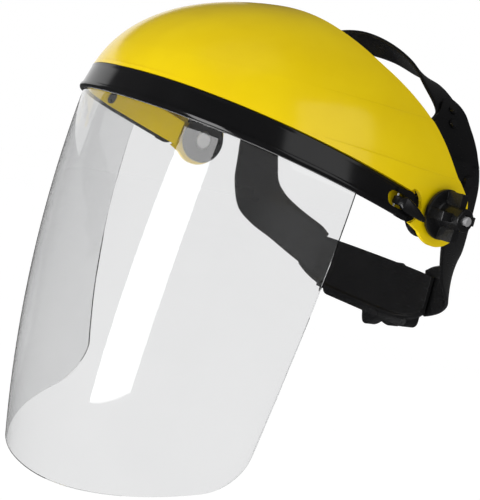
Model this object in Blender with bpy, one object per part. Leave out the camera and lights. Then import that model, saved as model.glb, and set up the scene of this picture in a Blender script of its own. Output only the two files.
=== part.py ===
"""Face shield: a hard brow guard with a clear window, hinged on an adjustable headgear.

Frame: +X is the wearer's left, -Y is forwards, +Z is up when the window is worn down.
The origin is on the tilt axis, midway between the two pivot bolts.
Dimensions below are in millimetres and are turned into metres when a mesh is made.
"""
import math

import bmesh
import bpy
from mathutils import Matrix, Vector

MM = 0.001
GAP = 0.3                      # clearance between pieces that touch

# --- brow rim: the plan outline that the band, the window and the shell all follow
RIM_HALF_WIDTH = 118.0
RIM_DEPTH = 140.0
RIM_POWER = 2.36               # superellipse exponent of the plan outline
RIM_APEX_Z = 18.8              # height of the band's lower edge at the front
RIM_FALL = 29.3                # how far the rim falls towards the pivots, linear part
RIM_SAG = 6.1                  # and its curved part
RIM_RUN = 150.0                # over this length in Y

# --- black brow band
BAND_HEIGHT = 15.5
BAND_LEAN = 4.4                # the band's top is this far inside its lower edge
BAND_THICK = 2.0
BAND_END_Y = -24.5             # centre of the band's rounded rear end
BAND_END_RADIUS = 9.3
SLOT_FRONT_Y = -38.0
SLOT_REAR_Y = -25.0
SLOT_HALF = 3.9
SIDE_SLOPE = math.radians(-13.0)   # run of the band's side in the YZ plane

# --- clear window
WINDOW_THICK = 1.0
WINDOW_TUCK = 12.4             # height of sheet hidden behind the band
WINDOW_EDGE_TOP_Y = -56.0
WINDOW_EDGE_LOW_Y = -61.5
WINDOW_FOOT_HALF_WIDTH = 95.4
WINDOW_FOOT_DEPTH = 123.3
WINDOW_FOOT_POWER = 2.14
WINDOW_FOOT_CENTRE_Y = -20.6
WINDOW_FOOT_Z = -186.8
WINDOW_FOOT_RISE = 43.4        # rise of the foot over RIM_RUN towards the rear
WINDOW_CORNER = 20.0
WINDOW_BULGE = 6.0

# --- yellow crown shell
SHELL_HALF_WIDTH = 116.5
SHELL_DEPTH = 140.0
SHELL_RISE = 92.0
SHELL_SIDE_POWER = 2.4         # superellipse exponent of the side view
SHELL_WALL = 2.4
SHELL_RIM_WALL = 2.2
EAR_RADIUS = 19.0
EAR_Y = 2.0
EAR_Z = 1.0

# --- pivot stack, from the inside out, as distances from the middle plane
ARM_IN = 101.0
ARM_OUT = 105.8
PLATE_IN = 105.5
PLATE_OUT = 109.5
PLATE_RADIUS = 15.5
WASHER_OUT = 113.4
EAR_IN = SHELL_HALF_WIDTH - SHELL_WALL
KNOB_IN = 117.4
FLANGE_OUT = 120.6
KNOB_OUT = 131.5
BOSS_OUT = 134.6                 # the boss stands proud of the wings
BOLT_OUT = 136.5
BOLT_RADIUS = 2.5
BOLT_HEAD_RADIUS = 6.2
HEAD_SEAT = PLATE_OUT - 1.2      # the bolt head sits in a recess of the plate
FLANGE_RADIUS = 13.5
BOSS_RADIUS = 6.0
WING_HALF = 2.8

RIVET_RADIUS = 1.8
TEMPLE_RIVETS = ((-9.0, 21.0), (26.0, 19.0))   # Y and Z of the two rivets through each arm

# --- headgear
LOOP_HALF_WIDTH = 99.5         # plan outline of the loop behind the temples
LOOP_CENTRE_Y = 20.0
LOOP_REACH = 63.0
LOOP_POWER = 2.6
STRAP_THICK = 2.0
NAPE_TOP = -43.0
NAPE_FOOT = -77.5
NAPE_END_RISE = 11.0           # the foot is this much higher at the ends of the nape band
NAPE_HALF = 63.0
FOREHEAD_Y = -93.0

# --- ratchet
GEAR_TEETH = 12
GEAR_MODULE = 1.0
GEAR_RADIUS = GEAR_TEETH * GEAR_MODULE / 2
RATCHET_Z = -68.5


# ---------------------------------------------------------------- helpers
def material(name, colour, roughness, metallic=0.0, alpha=1.0):
    """A Principled BSDF material."""
    found = bpy.data.materials.get(name)
    if found:
        return found
    made = bpy.data.materials.new(name)
    made.use_nodes = True
    shader = made.node_tree.nodes["Principled BSDF"]
    shader.inputs["Base Color"].default_value = (*colour, 1.0)
    shader.inputs["Roughness"].default_value = roughness
    shader.inputs["Metallic"].default_value = metallic
    shader.inputs["Alpha"].default_value = alpha
    return made


def yellow():
    return material("crown_yellow", (0.90, 0.66, 0.01), 0.25)


def black():
    return material("black_plastic", (0.012, 0.012, 0.013), 0.3)


def clear():
    return material("clear_sheet", (0.95, 0.96, 0.97), 0.03, alpha=0.25)


def steel():
    return material("bright_steel", (0.62, 0.62, 0.64), 0.25, metallic=1.0)


def brass():
    return material("brass", (0.72, 0.52, 0.22), 0.3, metallic=1.0)


def rubber():
    return material("grey_rubber", (0.05, 0.05, 0.05), 0.7)


def foam():
    return material("black_foam", (0.03, 0.03, 0.035), 0.9)


def finish(name, bm, mat, origin=(0, 0, 0), parent=None, smooth=35.0):
    """Turn a bmesh in millimetres into an object in metres with its origin at a chosen point."""
    bmesh.ops.remove_doubles(bm, verts=bm.verts, dist=0.0001)
    bmesh.ops.recalc_face_normals(bm, faces=bm.faces)
    bmesh.ops.translate(bm, verts=bm.verts, vec=-Vector(origin))
    bmesh.ops.scale(bm, verts=bm.verts, vec=(MM, MM, MM))
    mesh = bpy.data.meshes.new(name)
    bm.to_mesh(mesh)
    bm.free()
    mesh.shade_smooth()
    mesh.set_sharp_from_angle(angle=math.radians(smooth))
    mesh.materials.append(mat)
    made = bpy.data.objects.new(name, mesh)
    made.location = Vector(origin) * MM
    bpy.context.scene.collection.objects.link(made)
    if parent:
        made.parent = parent
        made.matrix_parent_inverse = Matrix.Translation(-parent.location)
    return made


def pivot_empty(name, place, parent=None):
    """An empty on a joint's axis, for the pieces that turn or slide there."""
    made = bpy.data.objects.new(name, None)
    made.location = Vector(place) * MM
    made.empty_display_size = 0.02
    bpy.context.scene.collection.objects.link(made)
    if parent:
        made.parent = parent
        made.matrix_parent_inverse = Matrix.Translation(-parent.location)
    return made


def skin(bm, loops, closed=False):
    """Join a list of equal closed loops of points with quads, and cap the two ends."""
    rows = [[bm.verts.new(p) for p in loop] for loop in loops]
    count = len(rows[0])
    pairs = list(zip(rows, rows[1:]))
    if closed:
        pairs.append((rows[-1], rows[0]))
    for low, high in pairs:
        for i in range(count):
            j = (i + 1) % count
            bm.faces.new((low[i], low[j], high[j], high[i]))
    if not closed:
        bm.faces.new(rows[0][::-1])
        bm.faces.new(rows[-1])
    return bm


def prism(bm, outline, low, high, place):
    """Extrude a flat outline between two distances; place(a, b, d) gives the point."""
    return skin(bm, [[place(a, b, d) for a, b in outline] for d in (low, high)])


def yz(a, b, d):
    """Outline in the YZ plane, extruded along X."""
    return Vector((d, a, b))


def circle(radius, count=24, centre=(0, 0), start=0.0):
    return [(centre[0] + radius * math.cos(start + 2 * math.pi * i / count),
             centre[1] + radius * math.sin(start + 2 * math.pi * i / count)) for i in range(count)]


def arc(centre, radius, start, end, count):
    """Points on an arc, angles in degrees."""
    points = []
    for i in range(count + 1):
        angle = math.radians(start + (end - start) * i / count)
        points.append((centre[0] + radius * math.cos(angle), centre[1] + radius * math.sin(angle)))
    return points


def turned(bm, profile, side=1, count=24, place=None):
    """Revolve (radius, distance) stations about the X axis; radius 0 is not used."""
    place = place or (lambda a, b, d: Vector((side * d, a, b)))
    return skin(bm, [[place(a, b, d) for a, b in circle(r, count)] for r, d in profile])


def tube(bm, profile, side=1, count=24, place=None):
    """Revolve a closed (radius, distance) profile about the X axis, leaving a hole."""
    place = place or (lambda a, b, d: Vector((side * d, a, b)))
    loops = []
    for i in range(count):
        angle = 2 * math.pi * i / count
        loops.append([place(r * math.cos(angle), r * math.sin(angle), d) for r, d in profile])
    return skin(bm, loops, closed=True)


def cut(target, cutter, operation="DIFFERENCE"):
    """Cut, join or intersect with an exact Boolean; the tool object is hidden."""
    cutter.hide_render = True
    cutter.display_type = "WIRE"
    step = target.modifiers.new(operation.title(), "BOOLEAN")
    step.operation = operation
    step.solver = "EXACT"
    step.object = cutter


def sides():
    """The two sides of the object: name and sign of X."""
    return (("left", 1), ("right", -1))


# ---------------------------------------------------------------- rim curves
def rim_z(y):
    s = max(0.0, y + RIM_DEPTH) / RIM_RUN
    return RIM_APEX_Z - RIM_FALL * s - RIM_SAG * s * s


def rim_end(inset, y):
    """Angle along the rim at which the outline, moved in by inset, reaches a given Y."""
    return math.acos((-y / (RIM_DEPTH - inset)) ** (RIM_POWER / 2))


def oval(angle, half_width, depth, power, centre_y=0.0):
    """Superellipse point: angle 0 is the front, positive angles go to the wearer's left."""
    s, c = math.sin(angle), math.cos(angle)
    return (math.copysign(abs(s) ** (2 / power), s) * half_width,
            centre_y - abs(c) ** (2 / power) * depth)


def rim_point(angle, inset, rise):
    """Point on the rim, moved in by inset and up by rise."""
    x, y = oval(angle, RIM_HALF_WIDTH - inset, RIM_DEPTH - inset, RIM_POWER)
    return Vector((x, y, rim_z(y) + rise))


def rim_loft(bm, profile, end_y, count):
    """Sweep an (inset, rise) profile round the rim from one side's end_y to the other's."""
    loops = []
    for i in range(count + 1):
        u = -1 + 2 * i / count
        loops.append([rim_point(u * rim_end(inset, end_y), inset, rise) for inset, rise in profile])
    return skin(bm, loops)


# ---------------------------------------------------------------- crown shell
def shell_outline():
    """Side view of the crown shell: band line, ear, rear edge, and a closed front."""
    lift = BAND_HEIGHT + GAP
    points = []
    for i in range(13):
        y = -150 + i * (BAND_END_Y + 150) / 12
        points.append((y, rim_z(y) + lift))
    nose = (BAND_END_Y, rim_z(BAND_END_Y) + BAND_HEIGHT / 2)
    points += arc(nose, BAND_END_RADIUS + GAP, 78, -62, 9)
    ear = arc((EAR_Y, EAR_Z), EAR_RADIUS, 222, 385, 14)
    points += ear
    rear = [(13.5, 15.0), (6.0, 22.5), (-3.4, 34.5), (-12.5, 45.5), (-22.4, 54.5), (-31.0, 61.5),
            (-38.5, 67.5), (-44.5, 74.0), (-49.5, 81.0), (-53.0, 90.0), (-54.0, 99.0)]
    points += rear
    points += [(-150, 99.0)]
    return points


def dome(bm, half_width, depth, rise, below=300.0):
    """Closed superellipsoid with its poles on the tilt axis."""
    steps = 28
    angles = [-30 + 8 * i for i in range(20)] + [160, 190, 220, 250, 280, 305]
    loops = []
    for j in range(1, steps):
        t = math.pi * j / steps
        x = math.copysign(abs(math.cos(t)) ** (2 / RIM_POWER), math.cos(t)) * half_width
        reach = math.sin(t) ** (2 / RIM_POWER)
        ring = []
        for degrees in angles:
            c, s = math.cos(math.radians(degrees)), math.sin(math.radians(degrees))
            tall = rise if s > 0 else below
            span = (abs(c / depth) ** SHELL_SIDE_POWER + abs(s / tall) ** SHELL_SIDE_POWER)
            radius = min(span ** (-1 / SHELL_SIDE_POWER), 170.0) * reach
            ring.append(Vector((x, -radius * c, radius * s)))
        loops.append(ring)
    return skin(bm, loops)


def crown_shell(parent):
    outer = dome(bmesh.new(), SHELL_HALF_WIDTH, SHELL_DEPTH, SHELL_RISE)
    shell = finish("crown_shell", outer, yellow(), parent=parent)
    outline = prism(bmesh.new(), shell_outline(), -160, 160, yz)
    cut(shell, finish("cut_side_view", outline, black()), "INTERSECT")
    inner = dome(bmesh.new(), EAR_IN, SHELL_DEPTH - SHELL_WALL, SHELL_RISE - SHELL_WALL)
    cut(shell, finish("cut_hollow", inner, black()))

    inset = BAND_THICK + GAP + WINDOW_THICK + 2 * GAP
    low, top = 1.6, BAND_HEIGHT + GAP
    wall = [(BAND_LEAN + 0.5, top), (BAND_LEAN + inset, top), (inset + 0.1 * BAND_LEAN, low),
            (inset + SHELL_RIM_WALL, low), (BAND_LEAN + inset + SHELL_RIM_WALL, top + 2.2),
            (BAND_LEAN + 1.2, top + 2.2)]
    ledge = rim_loft(bmesh.new(), wall, BAND_END_Y + 6.0, 32)
    cut(shell, finish("join_ledge", ledge, black()), "UNION")
    for name, side in sides():
        hole = turned(bmesh.new(), [(BOLT_RADIUS + 2.2, 100), (BOLT_RADIUS + 2.2, 130)], side)
        cut(shell, finish("cut_pivot_" + name, hole, black()))
    return shell


# ---------------------------------------------------------------- brow band
def brow_band(parent):
    lean, height, thick = BAND_LEAN, BAND_HEIGHT, BAND_THICK
    profile = [(0.8, 0.0), (0.0, 0.9), (0.35, 3.4), (0.95, 3.6), (lean - 0.1, height - 0.9),
               (lean + 0.5, height), (lean + thick, height), (thick, 0.0)]
    band = finish("brow_band", rim_loft(bmesh.new(), profile, BAND_END_Y, 32), black(), parent=parent)
    for name, side in sides():
        low = rim_z(BAND_END_Y)
        nose = (BAND_END_Y, low + height / 2)
        x_low, x_top = RIM_HALF_WIDTH - 0.7, RIM_HALF_WIDTH - lean + 0.3
        outline = arc(nose, BAND_END_RADIUS - 1.5, 80, -100, 12) + [(BAND_END_Y - 8, low + 1.6),
                                                                    (BAND_END_Y - 8, low + height)]
        tip = bmesh.new()

        def shaped(a, b, d):
            mix = (b - low) / height
            return Vector((side * (x_low + (x_top - x_low) * mix - d), a, b))
        prism(tip, outline, 0.0, thick - 0.4, shaped)
        cut(band, finish("join_band_end_" + name, tip, black()), "UNION")
        middle = (SLOT_FRONT_Y + SLOT_REAR_Y) / 2
        half = (SLOT_REAR_Y - SLOT_FRONT_Y) / 2
        centre_z = rim_z(middle) + height / 2
        slot = []
        for a, b in arc((half - SLOT_HALF, 0), SLOT_HALF, -90, 90, 6) + \
                arc((SLOT_HALF - half, 0), SLOT_HALF, 90, 270, 6):
            c, s = math.cos(SIDE_SLOPE), math.sin(SIDE_SLOPE)
            slot.append((middle + a * c - b * s, centre_z + a * s + b * c))
        tool = prism(bmesh.new(), slot, side * 100, side * 130, yz)
        cut(band, finish("cut_slot_" + name, tool, black()))
    return band


# ---------------------------------------------------------------- window
def window_point(u, v, depth_in):
    """Point on the sheet: u from -1 (right edge) to 1 (left edge), v from 0 (top) to 1 (foot)."""
    inset_foot = BAND_THICK + GAP + depth_in
    top_end = rim_end(inset_foot, WINDOW_EDGE_TOP_Y)
    a = u * top_end
    x_top, y_top = oval(a, RIM_HALF_WIDTH - inset_foot, RIM_DEPTH - inset_foot, RIM_POWER)
    z_top = rim_z(y_top)
    if v < 0:
        share = -v * WINDOW_TUCK
        return rim_point(a, inset_foot + BAND_LEAN * share / BAND_HEIGHT, share)
    w, d = WINDOW_FOOT_HALF_WIDTH - depth_in, WINDOW_FOOT_DEPTH - depth_in
    low_end = math.acos(((WINDOW_FOOT_CENTRE_Y - WINDOW_EDGE_LOW_Y) / d) ** (WINDOW_FOOT_POWER / 2))
    x_low, y_low = oval(u * low_end, w, d, WINDOW_FOOT_POWER, WINDOW_FOOT_CENTRE_Y)
    z_low = WINDOW_FOOT_Z + WINDOW_FOOT_RISE * (y_low + RIM_DEPTH) / RIM_RUN
    reach = 130.0 * (1 - abs(u))
    if reach < WINDOW_CORNER:
        z_low += WINDOW_CORNER - math.sqrt(WINDOW_CORNER ** 2 - (WINDOW_CORNER - reach) ** 2)
    swell = 1 + WINDOW_BULGE * 4 * v * (1 - v) / 120.0
    x = (x_top + (x_low - x_top) * v) * swell
    y = (y_top + (y_low - y_top) * v) * swell
    return Vector((x, y, z_top + (z_low - z_top) * v))


def window(parent):
    ends = [-1, -0.985, -0.95, -0.9, -0.85]
    middle = [-0.78 + 0.13 * i for i in range(13)]
    across = ends + middle + [-u for u in reversed(ends)]
    down = [-1.0, 0.0, 0.33, 0.67, 1.0]
    loops = []
    for u in across:
        front = [window_point(u, v, 0.0) for v in down]
        back = [window_point(u, v, WINDOW_THICK) for v in reversed(down)]
        loops.append(front + back)
    return finish("window", skin(bmesh.new(), loops), clear(), parent=parent)


# ---------------------------------------------------------------- rivets that hold the window
def rivet_angles():
    return [-0.92, -0.47, 0.0, 0.47, 0.92]


def rivet_frame(angle):
    """Point in the middle of the layers and the outward direction at a rivet."""
    inset = BAND_THICK + GAP + BAND_LEAN * 0.45
    here = rim_point(angle, inset, BAND_HEIGHT * 0.45)
    ahead = rim_point(angle + 0.01, inset, BAND_HEIGHT * 0.45)
    along = (ahead - here).normalized()
    outward = along.cross(Vector((0, 0, 1))).normalized()
    tilt = math.atan2(BAND_LEAN, BAND_HEIGHT)
    outward = (outward * math.cos(tilt) + Vector((0, 0, 1)) * math.sin(tilt)).normalized()
    return here, along, outward


def along_rivet(angle):
    """Placing function: outline across the rivet, distance inwards from the sheet's face."""
    here, along, outward = rivet_frame(angle)
    up = outward.cross(along).normalized()
    return lambda a, b, d: here + along * a + up * b - outward * d


def window_rivets(parent, shell, sheet):
    """Push rivets from inside the rim that hold the sheet to the shell."""
    for i, angle in enumerate(rivet_angles(), 1):
        place = along_rivet(angle)
        body = [(2.2, 0.15), (2.2, 3.9), (3.9, 3.9), (3.6, 5.3), (2.0, 5.6)]
        finish("window_rivet_%d" % i, turned(bmesh.new(), body, count=12, place=place), black(),
               parent=parent)
        for target, label in ((shell, "shell"), (sheet, "sheet")):
            hole = turned(bmesh.new(), [(2.6, -6), (2.6, 12)], count=12, place=place)
            cut(target, finish("cut_%s_rivet_%d" % (label, i), hole, black()))


# ---------------------------------------------------------------- band latches
LATCH_Y = -31.5                # latch hinge, in the band's slot
LATCH_LENGTH = 16.5
LATCH_DROP = 0.22              # the leaf runs down from the band by this slope
LATCH_BEND = 2.0               # from this distance behind its hinge


def latch_place(side):
    """Local frame of the latch: a runs rearwards along the band, b up, d outwards."""
    c, s = math.cos(SIDE_SLOPE), math.sin(SIDE_SLOPE)
    z0 = rim_z(LATCH_Y) + BAND_HEIGHT / 2
    x0 = latch_x()
    return lambda a, b, d: Vector((side * (x0 + d), LATCH_Y + a * c - b * s, z0 + a * s + b * c))


def latch_x():
    """Distance from the middle plane of the latch's hinge pin."""
    return rim_point(rim_end(0.0, LATCH_Y), 0.0, 0.0).x - BAND_LEAN / 2 - 1.0


def band_latches(parent):
    for name, side in sides():
        place = latch_place(side)
        z0 = rim_z(LATCH_Y) + BAND_HEIGHT / 2
        hinge = pivot_empty("hinge_latch_" + name, (side * latch_x(), LATCH_Y, z0), parent)
        lift = 2.9
        outline = [(-1.6, -0.7), (-0.7, -1.6), (0.7, -1.6), (1.7, 0.2), (1.9, lift),
                   (LATCH_LENGTH, lift + 3.2), (LATCH_LENGTH + 1.2, lift + 4.4),
                   (LATCH_LENGTH + 0.3, lift + 5.6), (LATCH_LENGTH - 3, lift + 5.4),
                   (1.0, lift + 2.2), (-0.6, lift + 0.8), (-1.6, 0.7)]
        widths = [2.6] * 5 + [3.6, 2.0, 2.0, 3.6] + [2.6] * 3
        bm = bmesh.new()
        loops = []
        for sign in (-1, 1):
            loops.append([place(a, sign * widths[i] - LATCH_DROP * max(0.0, a - LATCH_BEND), d)
                          for i, (a, d) in enumerate(outline)])
        skin(bm, loops)
        latch = finish("band_latch_" + name, bm, black(), (side * latch_x(), LATCH_Y, z0), hinge)
        bore = bmesh.new()
        skin(bore, [[place(p, b, q) for p, q in circle(0.75, 12)] for b in (-6, 6)])
        cut(latch, finish("cut_latch_bore_" + name, bore, black()))
        pin = bmesh.new()
        skin(pin, [[place(p, b, q) for p, q in circle(0.55, 12)] for b in (-3.5, 3.5)])
        finish("latch_pin_" + name, pin, steel(), parent=parent)


# ---------------------------------------------------------------- pivots
def temple_arm_outline():
    """Side view of the arm that joins the forehead band, the pivot disc and the side strap."""
    return [(-17.0, 9.5), (-13.0, 8.2), (25.0, 8.2), (29.5, 11.0), (31.0, 19.0), (29.5, 26.0),
            (25.0, 29.0), (-12.0, 29.0), (-16.5, 26.0)]


def pivots(headgear):
    for name, side in sides():
        disc = turned(bmesh.new(), [(PLATE_RADIUS, PLATE_IN), (PLATE_RADIUS, PLATE_OUT)], side, 32)
        plate = finish("temple_plate_" + name, disc, black(), parent=headgear)
        hole = [(BOLT_HEAD_RADIUS + 0.6, 95), (BOLT_HEAD_RADIUS + 0.6, HEAD_SEAT),
                (BOLT_RADIUS + GAP, HEAD_SEAT), (BOLT_RADIUS + GAP, 125)]
        cut(plate, finish("cut_plate_" + name, turned(bmesh.new(), hole, side), black()))
        arm = prism(bmesh.new(), temple_arm_outline(), side * ARM_IN, side * ARM_OUT, yz)
        cut(plate, finish("join_arm_" + name, arm, black()), "UNION")
        for y, z in TEMPLE_RIVETS:
            hole = turned(bmesh.new(), [(RIVET_RADIUS + GAP, 90), (RIVET_RADIUS + GAP, 115)], side, 12,
                          lambda a, b, d: Vector((side * d, y + a, z + b)))
            cut(plate, finish("cut_arm_%s_%d" % (name, y), hole, black()))

        bolt = bmesh.new()
        turned(bolt, [(4.2, HEAD_SEAT - 2.2), (BOLT_HEAD_RADIUS - 0.8, HEAD_SEAT - 1.8),
                      (BOLT_HEAD_RADIUS, HEAD_SEAT - GAP), (BOLT_RADIUS, HEAD_SEAT - GAP),
                      (BOLT_RADIUS, BOLT_OUT - 0.6), (BOLT_RADIUS - 0.6, BOLT_OUT)], side)
        finish("pivot_bolt_" + name, bolt, steel(), parent=headgear)

        ring = [(BOLT_RADIUS + GAP, PLATE_OUT + GAP), (12.0, PLATE_OUT + GAP),
                (12.0, WASHER_OUT), (BOLT_RADIUS + GAP, WASHER_OUT)]
        finish("friction_washer_" + name, tube(bmesh.new(), ring, side), rubber(), parent=headgear)

        sleeve = [(BOLT_RADIUS + GAP, WASHER_OUT + GAP), (BOLT_RADIUS + 1.7, WASHER_OUT + GAP),
                  (BOLT_RADIUS + 1.7, KNOB_IN - 0.6), (BOLT_RADIUS + GAP, KNOB_IN - 0.6)]
        finish("pivot_sleeve_" + name, tube(bmesh.new(), sleeve, side), brass(), parent=headgear)

        knob_turn = pivot_empty("turn_knob_" + name, (side * KNOB_IN, 0, 0), headgear)
        insert = [(BOLT_RADIUS + 0.1, KNOB_IN + 3), (4.0, KNOB_IN + 3),
                  (4.0, KNOB_OUT - 2), (BOLT_RADIUS + 0.1, KNOB_OUT - 2)]
        finish("knob_insert_" + name, tube(bmesh.new(), insert, side, 18), brass(),
               (side * KNOB_IN, 0, 0), knob_turn)
        pivot_knob(name, side, knob_turn)


def pivot_knob(name, side, parent):
    """Clamp knob: thin flange, domed boss and four wings."""
    bm = bmesh.new()
    profile = [(BOLT_RADIUS + 0.5, KNOB_IN), (FLANGE_RADIUS - 0.6, KNOB_IN),
               (FLANGE_RADIUS, KNOB_IN + 0.8), (FLANGE_RADIUS, FLANGE_OUT - 0.9),
               (FLANGE_RADIUS - 1.2, FLANGE_OUT), (BOSS_RADIUS + 1.5, FLANGE_OUT + 0.4),
               (BOSS_RADIUS, BOSS_OUT - 0.8), (BOSS_RADIUS - 0.8, BOSS_OUT),
               (4.3, BOSS_OUT), (4.3, KNOB_IN + 2.7), (BOLT_RADIUS + 0.5, KNOB_IN + 2.7)]
    tube(bm, profile, side, 22)
    knob = finish("pivot_knob_" + name, bm, black(), (side * KNOB_IN, 0, 0), parent)
    for i in range(4):
        angle = math.radians(90 * i)
        c, s = math.cos(angle), math.sin(angle)
        outline = [(4.9, FLANGE_OUT - 0.5), (12.6, FLANGE_OUT - 0.5), (12.9, FLANGE_OUT + 1.0),
                   (12.7, KNOB_OUT - 2.4), (11.9, KNOB_OUT - 1.5), (4.9, KNOB_OUT - 1.3)]
        wing = bmesh.new()
        skin(wing, [[Vector((side * d, r * c - w * s, r * s + w * c)) for r, d in outline]
                    for w in (-WING_HALF, WING_HALF)])
        cut(knob, finish("join_wing_%s_%d" % (name, i), wing, black()), "UNION")
    return knob


# ---------------------------------------------------------------- headgear straps
def ribbon(bm, stations, thick):
    """Sweep a flat bar with chamfered edges; each station is (edge, other edge, outward)."""
    loops = []
    for edge, other, outward in stations:
        across = (other - edge).normalized()
        normal = (outward - across * outward.dot(across)).normalized()
        half = normal * thick / 2
        trim = across * min(0.6, thick / 3)
        small = half * 0.45
        loops.append([edge + trim - half, other - trim - half, other - small, other + small,
                      other - trim + half, edge + trim + half, edge + small, edge - small])
    return skin(bm, loops)


def smooth_line(points, count):
    """Catmull-Rom curve through points, as count + 1 points."""
    ends = [points[0] * 2 - points[1]] + points + [points[-1] * 2 - points[-2]]
    spans = len(points) - 1
    made = []
    for i in range(count + 1):
        place = spans * i / count
        k = min(int(place), spans - 1)
        t = place - k
        a, b, c, d = ends[k:k + 4]
        made.append(((b * 2) + (c - a) * t + (a * 2 - b * 5 + c * 4 - d) * t * t
                     + (b * 3 - a - c * 3 + d) * t ** 3) * 0.5)
    return made


def loop_outward(x, y):
    """Outward direction of the rear loop in plan at a point on it."""
    across = math.copysign(abs(x / LOOP_HALF_WIDTH) ** (LOOP_POWER - 1), x) / LOOP_HALF_WIDTH
    ahead = max(0.0, (y - LOOP_CENTRE_Y) / LOOP_REACH) ** (LOOP_POWER - 1) / LOOP_REACH
    return Vector((across, ahead, 0)).normalized()


def loop_point(angle, inset=0.0):
    """Plan point on the rear loop: angle 0 is the nape, positive towards the wearer's left."""
    s, c = math.sin(angle), math.cos(angle)
    return Vector((math.copysign(abs(s) ** (2 / LOOP_POWER), s) * (LOOP_HALF_WIDTH - inset),
                   LOOP_CENTRE_Y + abs(c) ** (2 / LOOP_POWER) * (LOOP_REACH - inset), 0))


def loop_angle(x=None, y=None):
    """Angle on the rear loop at a given X or Y."""
    if x is not None:
        return math.asin((x / LOOP_HALF_WIDTH) ** (LOOP_POWER / 2))
    return math.acos(((y - LOOP_CENTRE_Y) / LOOP_REACH) ** (LOOP_POWER / 2))


def on_loop(angle, z, side=1, inset=0.0):
    plan = loop_point(angle, inset)
    return Vector((side * plan.x, plan.y, z))


def temple_hole(target, label, side, y, z):
    """Clearance hole for a temple rivet, along X."""
    hole = turned(bmesh.new(), [(RIVET_RADIUS + GAP, 80), (RIVET_RADIUS + GAP, 115)], side, 12,
                  lambda a, b, d: Vector((side * d, y + a, z + b)))
    cut(target, finish("cut_rivet_" + label, hole, black()))


def temple_rivets(headgear):
    """Rivets that join the forehead band and the side strap to each temple arm."""
    for name, side in sides():
        for (y, z), place, inner in zip(TEMPLE_RIVETS, ("front", "rear"), (94.6, 96.4)):
            profile = [(3.4, inner - 1.6), (3.6, inner - GAP), (RIVET_RADIUS, inner - GAP),
                       (RIVET_RADIUS, ARM_OUT + GAP), (3.6, ARM_OUT + GAP), (3.0, ARM_OUT + 1.5)]
            if place == "front":
                profile[-2:] = [(3.0, ARM_OUT + GAP), (2.6, ARM_OUT + 0.8)]
            rivet = turned(bmesh.new(), profile, side, 12,
                           lambda a, b, d: Vector((side * d, y + a, z + b)))
            finish("temple_rivet_%s_%s" % (name, place), rivet, black(), parent=headgear)


def side_straps(headgear):
    """Flat straps from the temple plates down and round to the nape band."""
    rows = [(22.5, 27.0, 43.0, 27.0), (24.5, 10.0, 51.5, 14.0), (26.5, -8.0, 55.0, -2.0),
            (28.5, -22.0, 58.0, -15.0), (36.0, -39.0, 63.0, -23.0), (47.5, -48.5, 68.5, -28.5),
            (61.0, -56.0, 73.5, -33.0), (71.0, -63.5, 77.5, -37.0), (76.5, -68.5, 79.3, -41.0)]
    for name, side in sides():
        stations = []
        edges = smooth_line([Vector(r) for r in rows], 14)
        for front_y, front_z, rear_y, rear_z in edges:
            low = loop_angle(y=front_y)
            high = loop_angle(y=rear_y)
            edge = on_loop(low, front_z, side)
            other = on_loop(high, rear_z, side)
            middle = on_loop((low + high) / 2, 0, side)
            outward = loop_outward(middle.x, middle.y)
            stations.append((edge, other, outward))
        strap = finish("side_strap_" + name, ribbon(bmesh.new(), stations, STRAP_THICK), black(),
                       parent=headgear)
        y, z = TEMPLE_RIVETS[1]
        temple_hole(strap, "strap_" + name, side, y, z)


def nape_band(headgear):
    """Curved band across the nape, with a bead along its lower edge."""
    end = loop_angle(x=NAPE_HALF)
    loops = []
    for i in range(19):
        angle = -end + 2 * end * i / 18
        foot = NAPE_FOOT + NAPE_END_RISE * abs(i / 9 - 1) ** 3
        profile = [(0, NAPE_TOP), (0, foot), (3.2, foot), (3.2, foot + 2.6), (2.0, foot + 3.6),
                   (2.0, NAPE_TOP)]
        loops.append([on_loop(angle, z, 1, inset + 2.6) for inset, z in profile])
    finish("nape_band", skin(bmesh.new(), loops), black(), parent=headgear)


def crown_stations():
    """Front edge and rear edge of the strap over the head, from the left side to the right."""
    half = [((98.6, -5.0, 29.6), (97.0, 42.5, 27.6)), ((96.0, -5.5, 36.5), (95.2, 37.5, 38.0)),
            ((91.8, 1.0, 45.5), (90.6, 34.0, 47.5)), ((86.0, 10.0, 54.5), (82.5, 31.0, 58.5)),
            ((71.0, 11.0, 67.5), (66.0, 29.5, 69.0)),
            ((54.0, 14.0, 79.0), (48.0, 27.0, 73.0)), ((27.0, 17.0, 88.0), (27.0, 27.5, 77.5)),
            ((0.0, 18.0, 91.5), (0.0, 28.0, 79.5))]
    rows = [Vector(front + rear) for front, rear in half]
    flip = Vector((-1, 1, 1, -1, 1, 1))
    rows += [Vector([a * b for a, b in zip(row, flip)]) for row in reversed(rows[:-1])]
    return smooth_line(rows, 96)


def crown_path(start, end, count, lift=0.0):
    """Stations of a ribbon between two shares of the strap over the head."""
    dense = crown_stations()
    stations = []
    for i in range(count + 1):
        k = round(96 * (start + (end - start) * i / count))
        front, rear = Vector(dense[k][:3]), Vector(dense[k][3:])
        before, after = dense[max(k - 1, 0)], dense[min(k + 1, 96)]
        along = (Vector(after[:3]) + Vector(after[3:]) - Vector(before[:3]) - Vector(before[3:]))
        outward = along.cross(rear - front).normalized()
        if outward.dot(Vector((front.x, 0, front.z))) < 0:
            outward = -outward
        stations.append((front + outward * lift, rear + outward * lift, outward))
    return stations


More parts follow.
